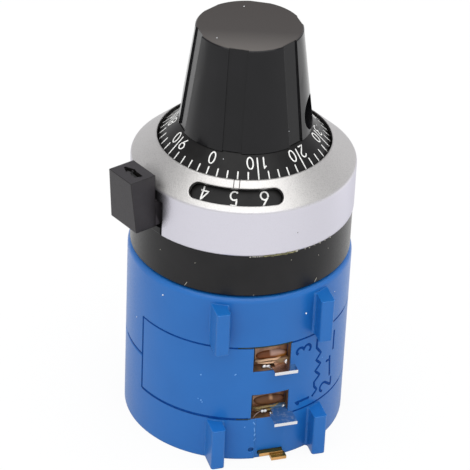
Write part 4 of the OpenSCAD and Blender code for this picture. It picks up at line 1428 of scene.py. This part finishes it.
def either(tree: Tree, first: Socket, second: Socket) -> Socket:
    """Gives the higher of two values."""
    return add(tree, "Math", {"operation": "MAXIMUM"}, {0: first, 1: second})


def hang(name: str, data: bpy.types.ID) -> Piece:
    """Adds a camera or a lamp to the scene."""
    made = bpy.data.objects.new(name, data)
    bpy.context.scene.collection.objects.link(made)
    return made


@dataclass(frozen=True)
class Lamp:
    """A soft square lamp that faces a height on the shaft, with its distance and side in metres."""

    name: str
    azimuth: float
    elevation: float
    distance: float
    side: float
    watts: float

    def build(self, height: float) -> None:
        """Hangs the lamp so that it faces that height, in millimetres."""
        way = direction(self.azimuth, self.elevation)
        light = bpy.data.lights.new(self.name, "AREA")
        light.size = self.side
        light.energy = self.watts
        lamp = hang(self.name, light)
        lamp.location = way * self.distance + Vector((0, 0, height * MM))
        lamp.rotation_euler = way.to_track_quat("Z", "Y").to_euler()


@dataclass
class Studio:
    """Camera, lights, floor and surroundings."""

    azimuth: float = -18.0
    elevation: float = 32.3
    roll: float = 2.6
    distance: float = 257.3
    focal_pixels: float = 2600.0
    picture_pixels: float = 470.0
    sensor: float = 36.0
    nearest: float = 0.005
    side_shift: float = -0.5
    target_height: float = 19.26
    room_level: float = 0.9
    lens_white: float = 1.02
    floor_colour: str = "#D8D8D8"
    floor_size: float = 4.0
    floor_drop: float = 0.02
    floor_glow: float = 0.9
    floor_gloss: tuple[Pair, ...] = (
        (-50.0, 0.87), (-14.0, 0.78), (5.0, 0.86), (30.0, 1.25))
    gloss_levels: tuple[Pair, ...] = (
        (0.01, 0.95), (0.28, 0.73), (0.46, 0.57), (0.66, 0.5), (0.99, 0.5))
    gloss_way: Point = (0.951, -0.309, 0.0)
    gloss_sides: Pair = (0.9, 1.15)
    white: str = "#FFFFFF"
    gloss_colour: str = "#FBFBFF"
    lamps: tuple[Lamp, ...] = (
        Lamp("overhead_softbox", azimuth=-18.0, elevation=72.0, distance=0.4, side=0.6, watts=1.42),)

    def camera(self) -> None:
        """Stands the camera where the photograph was taken from."""
        turn, roll = math.radians(self.azimuth), math.radians(self.roll)
        back = direction(self.azimuth, self.elevation)
        right = Vector((math.cos(turn), math.sin(turn), 0.0))
        up = back.cross(right)
        target = self.side_shift * right + Vector((0, 0, self.target_height))
        place = (target + self.distance * back) * MM
        columns = (math.cos(roll) * right + math.sin(roll) * up,
                   math.cos(roll) * up - math.sin(roll) * right, back)
        lens = bpy.data.cameras.new("photo_camera")
        lens.sensor_width = self.sensor
        lens.lens = self.focal_pixels * self.sensor / self.picture_pixels
        lens.clip_start = self.nearest
        camera = hang("photo_camera", lens)
        camera.matrix_world = Matrix([[columns[j][i] for j in range(3)] + [place[i]] for i in range(3)]
                                     + [[0, 0, 0, 1]])
        bpy.context.scene.camera = camera

    def surroundings(self) -> None:
        """Makes the world white to the lens, even to matt faces and graded to gloss."""
        world = bpy.data.worlds.new("white_room")
        world.use_nodes = True
        bpy.context.scene.world = world
        tree = world.node_tree
        tree.nodes.clear()
        way = add(tree, "TexCoord", output="Generated")
        height = add(tree, "SeparateXYZ", None, {0: way}, "Z")
        side = stretch(tree, vector_math(tree, "DOT_PRODUCT", way, self.gloss_way), -1, 1, *self.gloss_sides)
        gloss = product(tree, graded(tree, height, self.gloss_levels), side)
        room, shown = (add(tree, "Background", {"Color": linear(self.white), "Strength": level})
                       for level in (self.room_level, self.lens_white))
        mirrored = add(tree, "Background", {"Color": linear(self.gloss_colour)}, {"Strength": gloss})
        unseen = add(tree, "MixShader", None, {0: ray(tree, "Glossy"), 1: room, 2: mirrored})
        seen = either(tree, ray(tree, "Camera"), ray(tree, "Transmission"))
        whole = add(tree, "MixShader", None, {0: seen, 1: unseen, 2: shown})
        add(tree, "OutputWorld", None, {"Surface": whole})

    def floor_mirrored(self, tree: Tree) -> Socket:
        """Grades how bright the floor shows in gloss, from the lens's side to the far side.

        Args:
            tree: the floor's node tree.

        Returns:
            Socket with the level.
        """
        turn = math.radians(self.azimuth)
        away = vector_math(tree, "DOT_PRODUCT", object_place(tree), (-math.sin(turn), math.cos(turn), 0.0))
        first, last = self.floor_gloss[0][0], self.floor_gloss[-1][0]
        stops = [((place - first) / (last - first) * 0.98 + 0.01, level) for place, level in self.floor_gloss]
        return graded(tree, stretch(tree, away, first * MM, last * MM), stops)

    def floor(self) -> None:
        """Lays a plain pale floor that keeps a faint shadow."""
        deselect_all()
        bpy.ops.mesh.primitive_plane_add(size=self.floor_size, location=(0, 0, -self.floor_drop * MM))
        plane = bpy.context.object
        plane.name = "studio_floor"
        paper = bpy.data.materials.new("seamless_paper")
        paper.use_nodes = True
        tree = paper.node_tree
        tree.nodes.clear()
        glossy = ray(tree, "Glossy")
        seen = either(tree, ray(tree, "Camera"), ray(tree, "Transmission"))
        share = stretch(tree, either(tree, seen, glossy), 0, 1, 0, self.floor_glow)
        level = add(tree, "Mix", {"data_type": "FLOAT", 2: self.lens_white},
                    {0: glossy, 3: self.floor_mirrored(tree)})
        matt = add(tree, "BsdfDiffuse", {"Color": linear(self.floor_colour)})
        glow = add(tree, "Emission", {"Color": linear(self.white)}, {"Strength": level})
        mixed = add(tree, "MixShader", None, {0: share, 1: matt, 2: glow})
        add(tree, "OutputMaterial", None, {"Surface": mixed})
        plane.data.materials.append(paper)

    def build(self) -> None:
        """Sets up the whole studio."""
        self.camera()
        self.surroundings()
        self.floor()
        for lamp in self.lamps:
            lamp.build(self.target_height)
        bpy.context.scene.view_settings.view_transform = "Standard"


def main() -> None:
    """Builds the sub-assemblies in order."""
    logging.basicConfig(level=logging.INFO, format="%(message)s")
    Studio().build()
    for assembly in (Housing, DialHousing, CountingRing, Knob, MovingSmallParts):
        assembly(frame["nodes"]).build()


if __name__ == "__main__":
    main()
